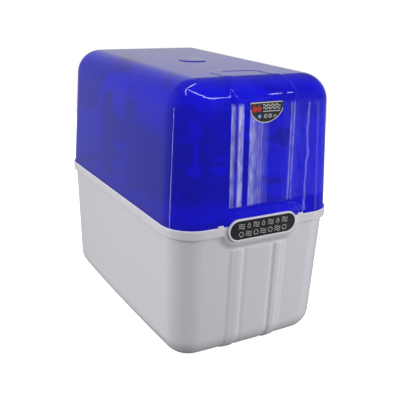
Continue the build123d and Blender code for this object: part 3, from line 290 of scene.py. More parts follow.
def level(points, normals, z, slope=0.0):
    """A ring at height z, whose normals lean up by slope (the angle's sine)."""
    flat = math.sqrt(1 - slope * slope)
    return (
        np.column_stack([points, np.full(len(points), z)]),
        np.column_stack([normals * flat, np.full(len(points), slope)]),
    )


# ---- Cover ----
def cover_relief(points, normals):
    """How far the cover's outer face stands off its plain form: ribs, dished panel and collar."""
    x, y, z = points.T
    front = (y < COVER_RIB_BACK_Y) & (np.abs(x) < RIB_ZONE_HALF_W)
    place = loop_distance(x, y)
    top_share = smooth(normals[:, 2], 0.45, 0.97)
    on_front = rib_height(place, RIB_PROFILE)
    on_top = rib_height(place, TOP_RIB_PROFILE)
    height = on_front * (1 - top_share) + on_top * top_share
    height = height * smooth(z, RIB_LOW_Z, RIB_LOW_Z + 2.4)
    height = np.where(front, height, 0.0)
    around = stadium_distance(x, z - BADGE_Z, BADGE_HALF_W, BADGE_HALF_H)
    collar = -y + COLLAR_HEIGHT - COLLAR_HEIGHT * smooth(around, 2.0, COLLAR_REACH)
    collar = np.minimum(collar, -COLLAR_FACE_Y) + y
    above_rim = smooth(z, JOINT_Z - 0.2, JOINT_Z + 0.8)
    near = (y < BADGE_ZONE_Y) & (around < COLLAR_REACH + 0.5)
    return np.where(near, np.maximum(height, collar * above_rim), height)


def cover_levels(inset):
    """Rings of the cover's form from the skirt to the flat top: (points, normals) each."""
    lean = math.atan(COVER_DRAFT)
    fillet = TOP_FILLET - inset
    top_z = COVER_TOP_Z - inset
    top_w = COVER_HALF_W - COVER_DRAFT * (COVER_TOP_Z - JOINT_Z) - inset
    top_l = COVER_HALF_L - COVER_DRAFT * (COVER_TOP_Z - JOINT_Z) - inset
    corner = CORNER_R - inset
    centre = fillet / math.cos(lean) - COVER_DRAFT * fillet
    start = centre - fillet * math.cos(lean)
    wall_top = top_z - fillet + fillet * math.sin(lean)
    if inset:
        heights = [LEDGE_Z, 230.0, 290.0, wall_top]
        angles = np.radians(np.linspace(math.degrees(lean), 90, 8)[1:])
    else:
        heights = steps(LEDGE_Z, 234.0, 1.4) + steps(240.0, wall_top, 7.0)
        angles = np.radians(np.linspace(math.degrees(lean), 90, 21)[1:])
    levels = []
    for z in heights:
        flare = COVER_DRAFT * (top_z - z)
        points, normals = ring(top_w + flare, top_l + flare, corner, COVER_YS)
        levels.append(level(points, normals, z, math.sin(lean)))
    for angle in angles:
        inward = centre - fillet * math.cos(angle)
        z = top_z - fillet + fillet * math.sin(angle)
        points, normals = ring(top_w - inward, top_l - inward, corner - (inward - start), COVER_YS)
        levels.append(level(points, normals, z, math.sin(angle)))
    left = corner - (centre - start)
    for share in (0.5, 1.0):
        inward = centre + left * share
        points, normals = ring(top_w - inward, top_l - inward, left * (1 - share) + TINY, COVER_YS)
        levels.append(level(points, normals, top_z, 1.0))
    grid = cap_grid(top_w - centre - left, top_l - centre - left, TINY, COVER_YS, top_z)
    return levels, grid


def cover_mesh():
    shell = Shell()
    levels, grid = cover_levels(0.0)
    outer = [lift(p, n, cover_relief(p, n)) for p, n in levels]
    flat = grid.reshape(-1, 3)
    up = np.tile((0.0, 0.0, 1.0), (len(flat), 1))
    grid = lift(flat, up, cover_relief(flat, up)).reshape(grid.shape)
    inner_levels, inner_grid = cover_levels(COVER_WALL)
    inner = [p for p, n in inner_levels]
    shell.add_rings(outer)
    shell.add_cap(grid)
    shell.add_rings(inner, flip=True)
    shell.add_cap(inner_grid, flip=True)
    shell.add_rings([inner[0], outer[0]])
    return shell.mesh("cover_shell")


# ---- Tub ----
def tub_size(z, inset):
    """Half width, half length and bows of the tub's wall at a height."""
    down = max(RIM_LOW_Z - z, 0.0)
    share = down / (RIM_LOW_Z - TUB_LOW_Z)
    half_w = TUB_HALF_W - TUB_DRAFT * down - 1.5 * share - inset
    half_l = TUB_HALF_L - TUB_DRAFT * down - 1.0 * share - inset
    return half_w, half_l, 0.6 + 2.4 * share, 0.6 + 1.4 * share


def tub_relief(points, normals):
    """How far the tub's outer face stands off its plain form: ribs and the pad round the badge."""
    x, y, z = points.T
    front = (y < TUB_RIB_BACK_Y) & (np.abs(x) < RIB_ZONE_HALF_W)
    fade = smooth(z, TUB_RIB_TOP_Z + 1.0, TUB_RIB_TOP_Z - 1.6)
    under = smooth(normals[:, 2], -0.99, -0.8)
    height = np.where(front, rib_height(np.abs(x), TUB_RIB_PROFILE) * fade * under, 0.0)
    around = stadium_distance(x, z - BADGE_Z, BADGE_HALF_W, BADGE_HALF_H)
    pad = -PAD_FACE_Y - PAD_HEIGHT * smooth(around, 0.8, PAD_REACH) + y
    near = (y < BADGE_ZONE_Y) & (around < PAD_REACH) & (normals[:, 1] < -0.5)
    return np.where(near, np.maximum(height, pad), height)


def tub_levels(inset):
    """Rings of the tub's wall from its flat floor up to the rim."""
    fillet = FLOOR_FILLET - inset
    corner = TUB_CORNER_R - inset
    low_z = TUB_LOW_Z + inset
    half_w, half_l, bow_x, bow_y = tub_size(low_z + fillet, inset)
    levels = []
    left = corner - fillet
    for share in (1.0, 0.5):
        inward = fillet + left * share
        points, normals = ring(half_w - inward, half_l - inward, left * (1 - share) + TINY, TUB_YS)
        levels.append(level(points, normals, low_z, -1.0))
    for angle in np.radians(np.linspace(90, 0, 8 if inset else 19)):
        inward = fillet * (1 - math.cos(angle))
        z = low_z + fillet - fillet * math.sin(angle)
        share = math.cos(angle)
        points, normals = ring(
            half_w - inward, half_l - inward, corner - inward, TUB_YS, bow_x * share, bow_y * share
        )
        levels.append(level(points, normals, z, -math.sin(angle)))
    first = low_z + fillet
    heights = steps(first + 8, 178.0, 25) if inset else steps(first + 6, 148, 8) + steps(150, 182.4, 1.5)
    for z in heights:
        half_w, half_l, bow_x, bow_y = tub_size(z, inset)
        points, normals = ring(half_w, half_l, corner, TUB_YS, bow_x, bow_y)
        levels.append(level(points, normals, z, 0.0))
    return levels


# The rim's section as (distance outside the tub's wall, height) in mm: up its outside, and then over
# its top and down to the cover's seat and the inner wall.
RIM_OUTSIDE = [(0.1, 182.8), (0.6, 183.0), (3.6, 183.0), (4.1, 183.2), (4.3, 183.8), (4.3, 185.5),
               (4.3, 187.5), (4.3, 189.5), (4.3, 191.5), (4.3, 193.5), (4.2, 194.9), (3.9, 195.6)]
RIM_INSIDE = [(3.4, 196.0), (2.9, 195.9), (2.6, 195.5), (2.6, 190.0), (-2.6, 190.0), (-3.0, 189.4),
              (-3.0, 183.0)]


def rim_levels(section):
    levels = []
    for proud, z in section:
        points, normals = ring(TUB_HALF_W + proud, TUB_HALF_L + proud, TUB_CORNER_R + proud, TUB_YS)
        levels.append(level(points, normals, z, 0.0))
    return levels


def tub_mesh():
    shell = Shell()
    outer = [lift(p, n, tub_relief(p, n)) for p, n in tub_levels(0.0)]
    outside = [lift(p, n, tub_relief(p, n)) for p, n in rim_levels(RIM_OUTSIDE)]
    inside = [p for p, n in rim_levels(RIM_INSIDE)]
    inner = [p for p, n in tub_levels(TUB_WALL)][::-1]
    shell.add_rings(outer + outside + inside + inner)
    for inset in (0.0, TUB_WALL):
        half_w, half_l, _, _ = tub_size(TUB_LOW_Z + FLOOR_FILLET, inset)
        inward = TUB_CORNER_R - inset
        grid = cap_grid(half_w - inward, half_l - inward, TINY, TUB_YS, TUB_LOW_Z + inset)
        shell.add_cap(grid, flip=inset == 0.0)
    return shell.mesh("tub_shell")


# ---- Objects ----
def placed(name, data):
    """A new object in the scene."""
    made = bpy.data.objects.new(name, data)
    bpy.context.scene.collection.objects.link(made)
    return made


def add_object(name, mesh, material, body, sharp=None):
    """An object that rides on a body, smooth shaded up to an edge angle in degrees."""
    made = placed(name, mesh)
    mesh.materials.clear()
    mesh.materials.append(material)
    mesh.shade_smooth()
    if sharp is not None:
        mesh.set_sharp_from_angle(angle=math.radians(sharp))
    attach(made, body)
    return made


def cut(target, low, high, radius):
    """Cuts a box out of a mesh object, its edges along y rounded. Sizes in millimetres."""
    cutter = placed("cutter", block_mesh("cutter", low, high, radius, 10, round_axis=1))
    change = target.modifiers.new("cut", "BOOLEAN")
    change.operation = "DIFFERENCE"
    change.solver = "EXACT"
    change.object = cutter
    bpy.context.view_layer.update()
    evaluated = target.evaluated_get(bpy.context.evaluated_depsgraph_get())
    result = bpy.data.meshes.new_from_object(evaluated)
    target.modifiers.clear()
    target.data = result
    bpy.data.objects.remove(cutter)


# ---- Materials ----
def new_material(name):
    made = bpy.data.materials.new(name)
    made.use_nodes = True
    tree = made.node_tree
    return made, tree, tree.nodes["Principled BSDF"]


def noise(tree, scale, detail=3.0, stretch=(1, 1, 1)):
    """A noise texture in the object's own coordinates, whose unit is the metre."""
    place = tree.nodes.new("ShaderNodeTexCoord")
    mapping = tree.nodes.new("ShaderNodeMapping")
    mapping.inputs["Scale"].default_value = stretch
    texture = tree.nodes.new("ShaderNodeTexNoise")
    texture.inputs["Scale"].default_value = scale
    texture.inputs["Detail"].default_value = detail
    tree.links.new(place.outputs["Object"], mapping.inputs["Vector"])
    tree.links.new(mapping.outputs["Vector"], texture.inputs["Vector"])
    return texture.outputs["Fac"]


def spread(tree, value, low, high, clip=(0.3, 0.7)):
    """A value from a texture, stretched to run from low to high."""
    node = tree.nodes.new("ShaderNodeMapRange")
    node.inputs["From Min"].default_value = clip[0]
    node.inputs["From Max"].default_value = clip[1]
    node.inputs["To Min"].default_value = low
    node.inputs["To Max"].default_value = high
    tree.links.new(value, node.inputs["Value"])
    return node.outputs["Result"]


def mixed(tree, factor, first, second):
    """A colour between two colours, given as values or as sockets."""
    node = tree.nodes.new("ShaderNodeMix")
    node.data_type = "RGBA"
    for name, colour in (("A", first), ("B", second)):
        if isinstance(colour, tuple):
            node.inputs[name].default_value = (*colour, 1)
        else:
            tree.links.new(colour, node.inputs[name])
    tree.links.new(factor, node.inputs["Factor"])
    return node.outputs["Result"]


def two_tone(tree, value, dark, light):
    """A colour between two, by a texture's value."""
    return mixed(tree, spread(tree, value, 0, 1), dark, light)


def bump(tree, value, strength, distance):
    node = tree.nodes.new("ShaderNodeBump")
    node.inputs["Strength"].default_value = strength
    node.inputs["Distance"].default_value = distance
    tree.links.new(value, node.inputs["Height"])
    return node.outputs["Normal"]


def surface(name, dark, light, rough, grain=900.0, relief=0.00003, metal=0.0, coat=0.0,
            stretch=(1, 1, 1)):
    """A moulded or machined surface: slow colour drift, uneven roughness and a fine grain."""
    made, tree, shader = new_material(name)
    drift = noise(tree, 22.0, 4.0, stretch)
    fine = noise(tree, grain, 2.0, stretch)
    tree.links.new(two_tone(tree, drift, dark, light), shader.inputs["Base Color"])
    tree.links.new(spread(tree, fine, rough[0], rough[1]), shader.inputs["Roughness"])
    tree.links.new(bump(tree, fine, 0.5, relief), shader.inputs["Normal"])
    shader.inputs["Metallic"].default_value = metal
    shader.inputs["Coat Weight"].default_value = coat
    shader.inputs["Coat Roughness"].default_value = 0.06
    return made


def white_plastic():
    """Glossy off-white moulding with a faint orange-peel waviness."""
    made, tree, shader = new_material("white_case")
    drift = noise(tree, 6.0, 4.0)
    wave = noise(tree, 60.0, 2.0)
    colour = two_tone(tree, drift, (0.685, 0.66, 0.725), (0.70, 0.675, 0.735))
    tree.links.new(colour, shader.inputs["Base Color"])
    tree.links.new(spread(tree, wave, 0.3, 0.36), shader.inputs["Roughness"])
    tree.links.new(bump(tree, wave, 0.12, 0.00005), shader.inputs["Normal"])
    shader.inputs["Coat Weight"].default_value = 0.8
    shader.inputs["Coat Roughness"].default_value = 0.08
    return made


def axis_value(tree, axis):
    place = tree.nodes.new("ShaderNodeTexCoord")
    split = tree.nodes.new("ShaderNodeSeparateXYZ")
    tree.links.new(place.outputs["Object"], split.inputs["Vector"])
    return split.outputs[axis]


def math_node(tree, operation, first, second=None):
    node = tree.nodes.new("ShaderNodeMath")
    node.operation = operation
    for slot, value in enumerate((first, second)):
        if value is None:
            continue
        if isinstance(value, (int, float)):
            node.inputs[slot].default_value = value
        else:
            tree.links.new(value, node.inputs[slot])
    return node.outputs[0]


# The front wall's clearer plastic and its painted highlight bands: a paler milky blue painted along the
# ribs' faces in place of bright reflections, stronger on the left rib than on the right.
# The table below has (x in mm, strength of the painted highlight) across the front, read by a colour ramp
# that runs between the two limits of x.
HIGHLIGHT_BAND_LOW_X = -52.0
HIGHLIGHT_BAND_HIGH_X = 52.0
# Where the painted highlight bands fade in and out, and where the front turns into the sides, in metres.
HIGHLIGHT_BAND_FADE_LOW_Z = (0.2185, 0.2215)
HIGHLIGHT_BAND_FADE_HIGH_Z = (0.347, 0.352)
HIGHLIGHT_BAND_FADE_Y = (-0.185, -0.18)
FRONT_FADE_Y = (-0.19, -0.165)
HIGHLIGHT_BAND_STOPS = [(-51.0, 0.0), (-49.6, 0.85), (-47.2, 0.85), (-45.6, 0.12), (-42.6, 0.1), (-41.2, 0.72),
              (-34.6, 0.66), (-32.6, 0.0), (-25.2, 0.0), (-23.8, 0.62), (-19.5, 0.56), (-13.0, 0.34),
              (-6.4, 0.26), (-5.0, 0.5), (-3.0, 0.22), (4.0, 0.14), (8.0, 0.03), (24.0, 0.03),
              (36.0, 0.06), (38.6, 0.5), (40.4, 0.08), (42.4, 0.55), (44.4, 0.05)]


def painted_highlight_bands(tree):
    """Where a paler blue is painted on the ribs' faces as highlight bands: along them, above the collar and
    below the top's bend.
    """
    x = axis_value(tree, "X")
    z = axis_value(tree, "Z")
    y = axis_value(tree, "Y")
    ramp = tree.nodes.new("ShaderNodeValToRGB")
    ramp.color_ramp.interpolation = "EASE"
    span = (HIGHLIGHT_BAND_HIGH_X - HIGHLIGHT_BAND_LOW_X) * MM
    place = math_node(tree, "DIVIDE", math_node(tree, "SUBTRACT", x, HIGHLIGHT_BAND_LOW_X * MM), span)
    tree.links.new(place, ramp.inputs["Fac"])
    stops = ramp.color_ramp.elements
    for i, (at, value) in enumerate(HIGHLIGHT_BAND_STOPS):
        where = (at - HIGHLIGHT_BAND_LOW_X) / (HIGHLIGHT_BAND_HIGH_X - HIGHLIGHT_BAND_LOW_X)
        stop = stops[i] if i < 2 else stops.new(where)
        stop.position = where
        stop.color = (value, value, value, 1)
    low = spread(tree, z, 0, 1, HIGHLIGHT_BAND_FADE_LOW_Z)
    high = spread(tree, z, 1, 0, HIGHLIGHT_BAND_FADE_HIGH_Z)
    front = spread(tree, y, 1, 0, HIGHLIGHT_BAND_FADE_Y)
    # Stretched noise breaks the painted highlight bands into vertical streaks.
    streak = spread(tree, noise(tree, 200.0, 3.0, (1, 1, 0.3)), 0.5, 1.2)
    highlight_band_mask = math_node(tree, "MULTIPLY", ramp.outputs["Color"], math_node(tree, "MULTIPLY", low, high))
    highlight_band_mask = math_node(tree, "MULTIPLY", highlight_band_mask, front)
    return math_node(tree, "MULTIPLY", highlight_band_mask, streak)


def blue_plastic():
    """Deep blue, half-clear plastic under a glossy skin, with highlight bands painted on the ribs. Lamps
    reach what is behind it.
    """
    made, tree, shader = new_material("blue_case")
    drift = noise(tree, 5.0, 3.0)
    # Painted light: the front wall is given a brighter blue than the sides and top, though the cover is one
    # plastic throughout.
    side = two_tone(tree, drift, (0.004, 0.0035, 0.46), (0.007, 0.006, 0.56))
    front = two_tone(tree, drift, (0.003, 0.0025, 0.76), (0.006, 0.005, 0.89))
    toward_front = spread(tree, axis_value(tree, "Y"), 1, 0, FRONT_FADE_Y)
    # Painted highlight bands: a paler milky blue mixed over the ribs' faces, which also lets less light
    # through there.
    highlight_band_mask = painted_highlight_bands(tree)
    body = mixed(tree, toward_front, side, front)
    tree.links.new(mixed(tree, highlight_band_mask, body, (0.66, 0.67, 0.98)), shader.inputs["Base Color"])
    clear_share = spread(tree, toward_front, 0.42, 0.49, (0, 1))
    outside_highlight_bands = math_node(tree, "SUBTRACT", 1.0, highlight_band_mask)
    clear_share = math_node(tree, "MULTIPLY", clear_share, outside_highlight_bands)
    tree.links.new(clear_share, shader.inputs["Transmission Weight"])
    shader.inputs["Roughness"].default_value = 0.12
    shader.inputs["IOR"].default_value = 1.06
    shader.inputs["Coat Weight"].default_value = 1.0
    shader.inputs["Coat Roughness"].default_value = 0.025
    shader.inputs["Coat IOR"].default_value = 1.5
    wave = noise(tree, 16.0, 2.0)
    tree.links.new(bump(tree, wave, 0.35, 0.0012), shader.inputs["Coat Normal"])
    clear = tree.nodes.new("ShaderNodeBsdfTransparent")
    clear.inputs["Color"].default_value = (0.025, 0.025, 0.96, 1)
    path = tree.nodes.new("ShaderNodeLightPath")
    indirect = math_node(tree, "MAXIMUM", path.outputs["Is Shadow Ray"], path.outputs["Is Diffuse Ray"])
    mix = tree.nodes.new("ShaderNodeMixShader")
    tree.links.new(indirect, mix.inputs["Fac"])
    tree.links.new(shader.outputs["BSDF"], mix.inputs[1])
    tree.links.new(clear.outputs["BSDF"], mix.inputs[2])
    tree.links.new(mix.outputs["Shader"], tree.nodes["Material Output"].inputs["Surface"])
    return made


def blue_lining():
    """The inner skin of the same wall: nearly clear, so that the wall's colour counts once."""
    made, tree, shader = new_material("blue_lining")
    drift = noise(tree, 5.0, 3.0)
    colour = two_tone(tree, drift, (0.01, 0.01, 0.6), (0.015, 0.015, 0.75))
    tree.links.new(colour, shader.inputs["Base Color"])
    shader.inputs["Roughness"].default_value = 0.5
    shader.inputs["Alpha"].default_value = 0.12
    return made


def line_inside(target, lining):
    """Puts the lining on the faces that look into the cover's hollow."""
    target.data.materials.append(lining)
    middle = Vector((0, 0, 0.25))
    for face in target.data.polygons:
        if face.normal.dot(face.center - middle) < 0:
            face.material_index = 1


# The finish of each of the record's material slots that stays on CAD nodes: two colours, the range
# of the roughness, and what else the surface needs.
SLOT_FINISHES = {
    "white_trim": ((0.74, 0.73, 0.75), (0.8, 0.79, 0.81), (0.2, 0.28), {"coat": 0.4}),
    "badge_black": ((0.012, 0.012, 0.015), (0.02, 0.02, 0.024), (0.2, 0.32), {"coat": 0.5}),
    "label_dark": ((0.022, 0.022, 0.026), (0.036, 0.036, 0.04), (0.35, 0.45), {}),
    "rubber": ((0.012, 0.012, 0.012), (0.022, 0.021, 0.02), (0.65, 0.85),
               {"grain": 1500, "relief": 0.00006}),
    "tank_plastic": ((0.64, 0.65, 0.68), (0.74, 0.75, 0.78), (0.3, 0.42),
                     {"grain": 700, "relief": 0.0001}),
    "steel": ((0.5, 0.5, 0.5), (0.66, 0.66, 0.65), (0.22, 0.4), {"grain": 1200, "metal": 1.0}),
    "brass": ((0.6, 0.42, 0.16), (0.76, 0.56, 0.26), (0.2, 0.38), {"grain": 1200, "metal": 1.0}),
    "black_plastic": ((0.008, 0.008, 0.009), (0.016, 0.016, 0.018), (0.35, 0.5), {}),
    "white_fitting": ((0.68, 0.68, 0.66), (0.78, 0.78, 0.76), (0.42, 0.55), {}),
    "lever_blue": ((0.01, 0.05, 0.35), (0.02, 0.09, 0.48), (0.3, 0.4), {}),
    "tray_plastic": ((0.55, 0.55, 0.56), (0.66, 0.66, 0.67), (0.5, 0.65),
                     {"grain": 600, "relief": 0.0001}),
    "filter_white": ((0.72, 0.72, 0.7), (0.8, 0.8, 0.78), (0.28, 0.38), {}),
    "cap_blue": ((0.01, 0.06, 0.32), (0.02, 0.1, 0.44), (0.35, 0.45), {}),
    "housing_white": ((0.74, 0.74, 0.72), (0.82, 0.82, 0.8), (0.25, 0.36), {}),
    "membrane_film": ((0.5, 0.47, 0.36), (0.64, 0.6, 0.48), (0.42, 0.55),
                      {"grain": 300, "relief": 0.0002, "stretch": (1, 0.05, 1)}),
    "motor_can": ((0.02, 0.02, 0.022), (0.04, 0.04, 0.042), (0.3, 0.45),
                  {"grain": 1600, "relief": 0.00006}),
    "rotor_steel": ((0.3, 0.29, 0.28), (0.46, 0.45, 0.43), (0.3, 0.5),
                    {"metal": 1.0, "stretch": (1, 8, 1)}),
    "bracket_steel": ((0.5, 0.51, 0.52), (0.64, 0.65, 0.66), (0.3, 0.48), {"metal": 1.0}),
    "switch_grey": ((0.2, 0.2, 0.21), (0.28, 0.28, 0.29), (0.42, 0.55), {}),
    "collet_grey": ((0.3, 0.3, 0.31), (0.38, 0.38, 0.39), (0.42, 0.55), {}),
    "collet_blue": ((0.01, 0.07, 0.42), (0.02, 0.11, 0.54), (0.42, 0.55), {}),
    "collet_red": ((0.42, 0.02, 0.02), (0.54, 0.035, 0.03), (0.42, 0.55), {}),
    "tube_white": ((0.68, 0.68, 0.66), (0.76, 0.76, 0.74), (0.3, 0.4), {}),
    "tube_red": ((0.5, 0.02, 0.02), (0.62, 0.035, 0.03), (0.28, 0.38), {}),
    "tube_blue": ((0.01, 0.1, 0.5), (0.02, 0.15, 0.62), (0.28, 0.38), {}),
    "tube_yellow": ((0.66, 0.46, 0.02), (0.78, 0.56, 0.04), (0.28, 0.38), {}),
    "tube_black": ((0.01, 0.01, 0.01), (0.02, 0.02, 0.02), (0.28, 0.38), {}),
}


def slot_materials():
    """A procedural material for each of the slots."""
    return {
        name: surface(name, dark, light, rough, **more)
        for name, (dark, light, rough, more) in SLOT_FINISHES.items()
    }


def dress_cad_nodes(materials):
    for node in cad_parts.values():
        for slot in node.material_slots:
            name = slot.material.name.split(".")[0]
            if name in materials:
                slot.material = materials[name]


# ---- Badge and label ----
def stadium_points(half_w, half_h, count=20):
    """A slot's outline as (x, z) points, anticlockwise seen from the front."""
    centre = half_w - half_h
    points = []
    for side, start in ((1, -90), (-1, 90)):
        for i in range(count + 1):
            angle = math.radians(start + 180 * i / count)
            points.append((side * centre + half_h * math.cos(angle), half_h * math.sin(angle)))
    return points


# The bezel's section: (distance inside the badge's edge, y) in mm, from the back over the face.
BEZEL_SECTION = [(0.0, -203.35), (0.0, -204.9), (0.15, -205.4), (0.5, -205.8), (1.0, -206.0), (1.7, -206.0),
                 (2.15, -205.85), (2.45, -205.5), (2.6, -204.9), (2.6, -203.35)]


def bezel_mesh():
    rings = []
    for inward, y in BEZEL_SECTION:
        outline = stadium_points(BADGE_HALF_W - inward, BADGE_HALF_H - inward)
        rings.append(np.array([(x, y, z + BADGE_Z) for x, z in outline]))
    shell = Shell()
    shell.add_rings(rings + [rings[0]])
    return shell.mesh("badge_bezel_round")


def strip_mesh(name, paths, width, y_of, thickness=0.12):
    """Raised flat strokes of one width along (x, z) paths, on a face whose y is y_of(x, z)."""
    points = []
    faces = []
    for path in paths:
        path = np.array(path, float)
        along = np.gradient(path, axis=0)
        along /= np.linalg.norm(along, axis=1)[:, None]
        across = np.column_stack([-along[:, 1], along[:, 0]]) * width / 2
        base = len(points)
        for (x, z), (ax, az) in zip(path, across):
            for side in (1, -1):
                px, pz = x + side * ax, z + side * az
                face_y = float(y_of(px, pz))
                points.append((px, face_y, pz))
                points.append((px, face_y - thickness, pz))
        for i in range(len(path) - 1):
            a = base + 4 * i
            b = a + 4
            faces.append((a + 1, a + 3, b + 3, b + 1))
            faces.append((a, a + 1, b + 1, b))
            faces.append((a + 3, a + 2, b + 2, b + 3))
            faces.append((a + 2, a, b, b + 2))
        last = base + 4 * (len(path) - 1)
        faces.append((base, base + 2, base + 3, base + 1))
        faces.append((last, last + 1, last + 3, last + 2))
    return mesh_of(name, points, faces)


def arc_path(cx, cz, radius, start, end, count=14):
    return [
        (cx + radius * math.cos(math.radians(a)), cz + radius * math.sin(math.radians(a)))
        for a in np.linspace(start, end, count)
    ]


def drop_path(cx, cz, size):
    """The outline of a water drop: a round bottom that runs up to a point."""
    ring_points = arc_path(cx, cz, size, 155, 385, 18)
    tip = (cx, cz + 2.1 * size)
    return [tip] + ring_points + [tip]


def wave_path(x0, x1, z, height, waves):
    xs = np.linspace(x0, x1, 12 * waves + 1)
    return [(x, z + height * math.sin(2 * math.pi * waves * (x - x0) / (x1 - x0))) for x in xs]


def ripples(x, z):
    """Three short waves, one above another, round a middle."""
    half_w = 4.6
    return [wave_path(x - half_w, x + half_w, z + rise, 1.0, 1) for rise in (2.6, 0.0, -2.6)]


def badge_emblem_paths():
    """Two rows of generic marks: ripples and water drops above, rings and ripples below."""
    marks = 7
    pitch = 11.3
    places = [(i, (i - marks // 2) * pitch) for i in range(marks)]
    paths = []
    for i, x in places:
        paths.extend([drop_path(x, 4.4, 2.1)] if i % 2 else ripples(x, 5.2))
    for i, x in places:
        paths.extend(ripples(x, -5.6) if i % 2 else [arc_path(x, -5.6, 3.2, 0, 360, 22)])
    return [[(x, z + BADGE_Z) for x, z in path] for path in paths]


def front_face_y(x, z):
    """The y of the cover's outer front face at a place between the ribs, in mm."""
    points = np.array([[float(x), -(COVER_HALF_L - COVER_DRAFT * (z - JOINT_Z)), float(z)]])
    normals = np.array([[0.0, -1.0, 0.0]])
    wall_top = COVER_TOP_Z - TOP_FILLET
    if z > wall_top:
        rise = min((z - wall_top) / TOP_FILLET, 0.999)
        centre_y = -(COVER_HALF_L - COVER_DRAFT * (wall_top - JOINT_Z)) + TOP_FILLET
        points[0, 1] = centre_y - TOP_FILLET * math.sqrt(1 - rise * rise)
    return points[0, 1] - float(cover_relief(points, normals)[0])


def label_mesh():
    """A half-round sticker that follows the front face, with a soft edge."""
    columns = np.linspace(-1, 1, 41)
    rows = np.linspace(0, 1, 21)
    points = []
    for row in rows:
        depth = LABEL_R * row
        half = min(LABEL_HALF_W, math.sqrt(max(LABEL_R ** 2 - depth ** 2, 0.0)))
        for column in columns:
            x = half * column
            z = LABEL_TOP_Z - depth
            inside = 0.0 < row < 0.98 and abs(column) < 0.99
            proud = LABEL_THICKNESS if inside else 0.06
            points.append((x, front_face_y(x, z) - proud, z))
    grid = np.array(points).reshape(len(rows), len(columns), 3)
    shell = Shell()
    shell.add_cap(grid)
    return shell.mesh("front_label_skin")


def label_marks():
    """Generic marks on the label: red drops, pale ripples over a rule, small signs and a border."""

    def face(x, z):
        return front_face_y(x, z) - LABEL_THICKNESS + 0.02

    top = LABEL_TOP_Z
    red = []
    for x in (-17.8, -10.2):
        for size in (3.0, 2.0, 1.0):
            red.append(drop_path(x, top - 9.6 + 0.3 * size, size))
    left = -4.5
    right = 20.5
    rule_z = top - 12.2
    pale = [wave_path(left, right, top - 4.8, 1.2, 4), wave_path(left, right, top - 8.4, 1.2, 4)]
    pale.append([(left, rule_z), ((left + right) / 2, rule_z), (right, rule_z)])
    signs_z = top - 18.2
    pale.append(arc_path(0.0, signs_z, 2.0, 20, 340, 16))
    pale.append(arc_path(6.5, signs_z, 2.0, 0, 360, 16))
    pale.append([(11.5, signs_z - 1.8), (13.5, signs_z + 1.8), (15.5, signs_z - 1.8)])
    side = 23.9
    edge_top = top - 0.8
    edge_low = top - 10.9
    border = [(-side, edge_top), (side, edge_top), (side, edge_low)]
    border += arc_path(0.0, top, LABEL_R - 0.8, -24.2, -155.8, 24)
    pale.append(border + [(-side, edge_low), (-side, edge_top)])
    blue = [arc_path(-9.5, signs_z, radius, 0, 360, count) for radius, count in ((1.9, 16), (0.9, 12))]
    return [
        ("label_mark_red", strip_mesh("label_mark_red", red, 1.5, face, 0.06), (0.5, 0.03, 0.02)),
        ("label_mark_pale", strip_mesh("label_mark_pale", pale, 1.0, face, 0.06), (0.62, 0.62, 0.62)),
        ("label_mark_blue", strip_mesh("label_mark_blue", blue, 1.0, face, 0.06), (0.2, 0.4, 0.8)),
    ]


def rounded_block(name, low, high, radius, material):
    """A box with rounded edges between two corners in millimetres, on the base."""
    return add_object(name, block_mesh(name, low, high, radius, 3), material, "base", sharp=40)


def turned(name, section, centre, axis, material, body, count=64):
    """A turned piece: section is (distance along the axis, radius) in mm, closed at both ends."""
    direction = Vector(axis)
    side = direction.orthogonal().normalized()
    other = direction.cross(side)
    rings = []
    for along, radius in section:
        angles = np.linspace(0, 2 * math.pi, count, endpoint=False)
        middle = Vector(centre) + direction * along
        reach = max(radius, TINY)
        rings.append(
            np.array([middle + (side * math.cos(a) + other * math.sin(a)) * reach for a in angles])
        )
    shell = Shell()
    shell.add_rings(rings)
    return add_object(name, shell.mesh(name), material, body, sharp=35)


def top_disc(material):
    """The low round boss in the middle of the top."""
    section = [(-0.6, 0.0), (-0.6, DISC_R), (0.6, DISC_R), (0.82, DISC_R - 0.2), (0.87, DISC_R - 0.6),
               (0.87, 0.0)]
    centre = (0, DISC_Y, COVER_TOP_Z)
    turned("cover_disc", section, centre, (0, 0, 1), material, "cover", 96)


def back_recess(tub, material):
    """The shallow recess in the back wall, with the panel that carries the ports and the inlet."""
    face = (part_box("bulkhead_nuts")[1].y / MM) + TUB_WALL
    low = (-RECESS_HALF_W, face, RECESS_LOW_Z)
    high = (RECESS_HALF_W, 215, RECESS_HIGH_Z)
    cut(tub, low, high, RECESS_R)
    panel_low = (-RECESS_HALF_W - PANEL_LAP, face - TUB_WALL, RECESS_LOW_Z - PANEL_LAP)
    panel_high = (RECESS_HALF_W + PANEL_LAP, PANEL_BACK_Y, RECESS_HIGH_Z + PANEL_LAP)
    panel = rounded_block("recess_panel", panel_low, panel_high, 0.8, material)
    cut(panel, low, high, RECESS_R)
    for name in ("feed_collet", "product_collet", "drain_collet", "power_inlet"):
        low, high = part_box(name)
        x = (low.x + high.x) / 2 / MM
        z = (low.z + high.z) / 2 / MM
        r = PORT_HOLE_R
        cut(panel, (x - r, face - 5, z - r), (x + r, face + 2, z + r), r - 0.1)


def tray_posts(material):
    """The four posts between the tub's floor and the tray."""
    screws_low, screws_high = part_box("tray_screws")
    section = [(POST_LOW_Z, 0.0), (POST_LOW_Z, POST_R), (POST_TOP_Z, POST_R), (POST_TOP_Z, 0.0)]
    for side_x in (-1, 1):
        for y in (screws_low.y / MM + POST_INSET, screws_high.y / MM - POST_INSET):
            x = side_x * (screws_high.x / MM - POST_INSET)
            name = f"tray_post_{'left' if side_x < 0 else 'right'}_{'front' if y < 0 else 'back'}"
            turned(name, section, (x, y, 0), (0, 0, 1), material, "base", 32)


def band_section(ends, low_r, high_r):
    """The section of a band round a cylinder, between two places along it."""
    start, end = ends
    return [(start, low_r), (start, high_r), (end, high_r), (end, low_r)]


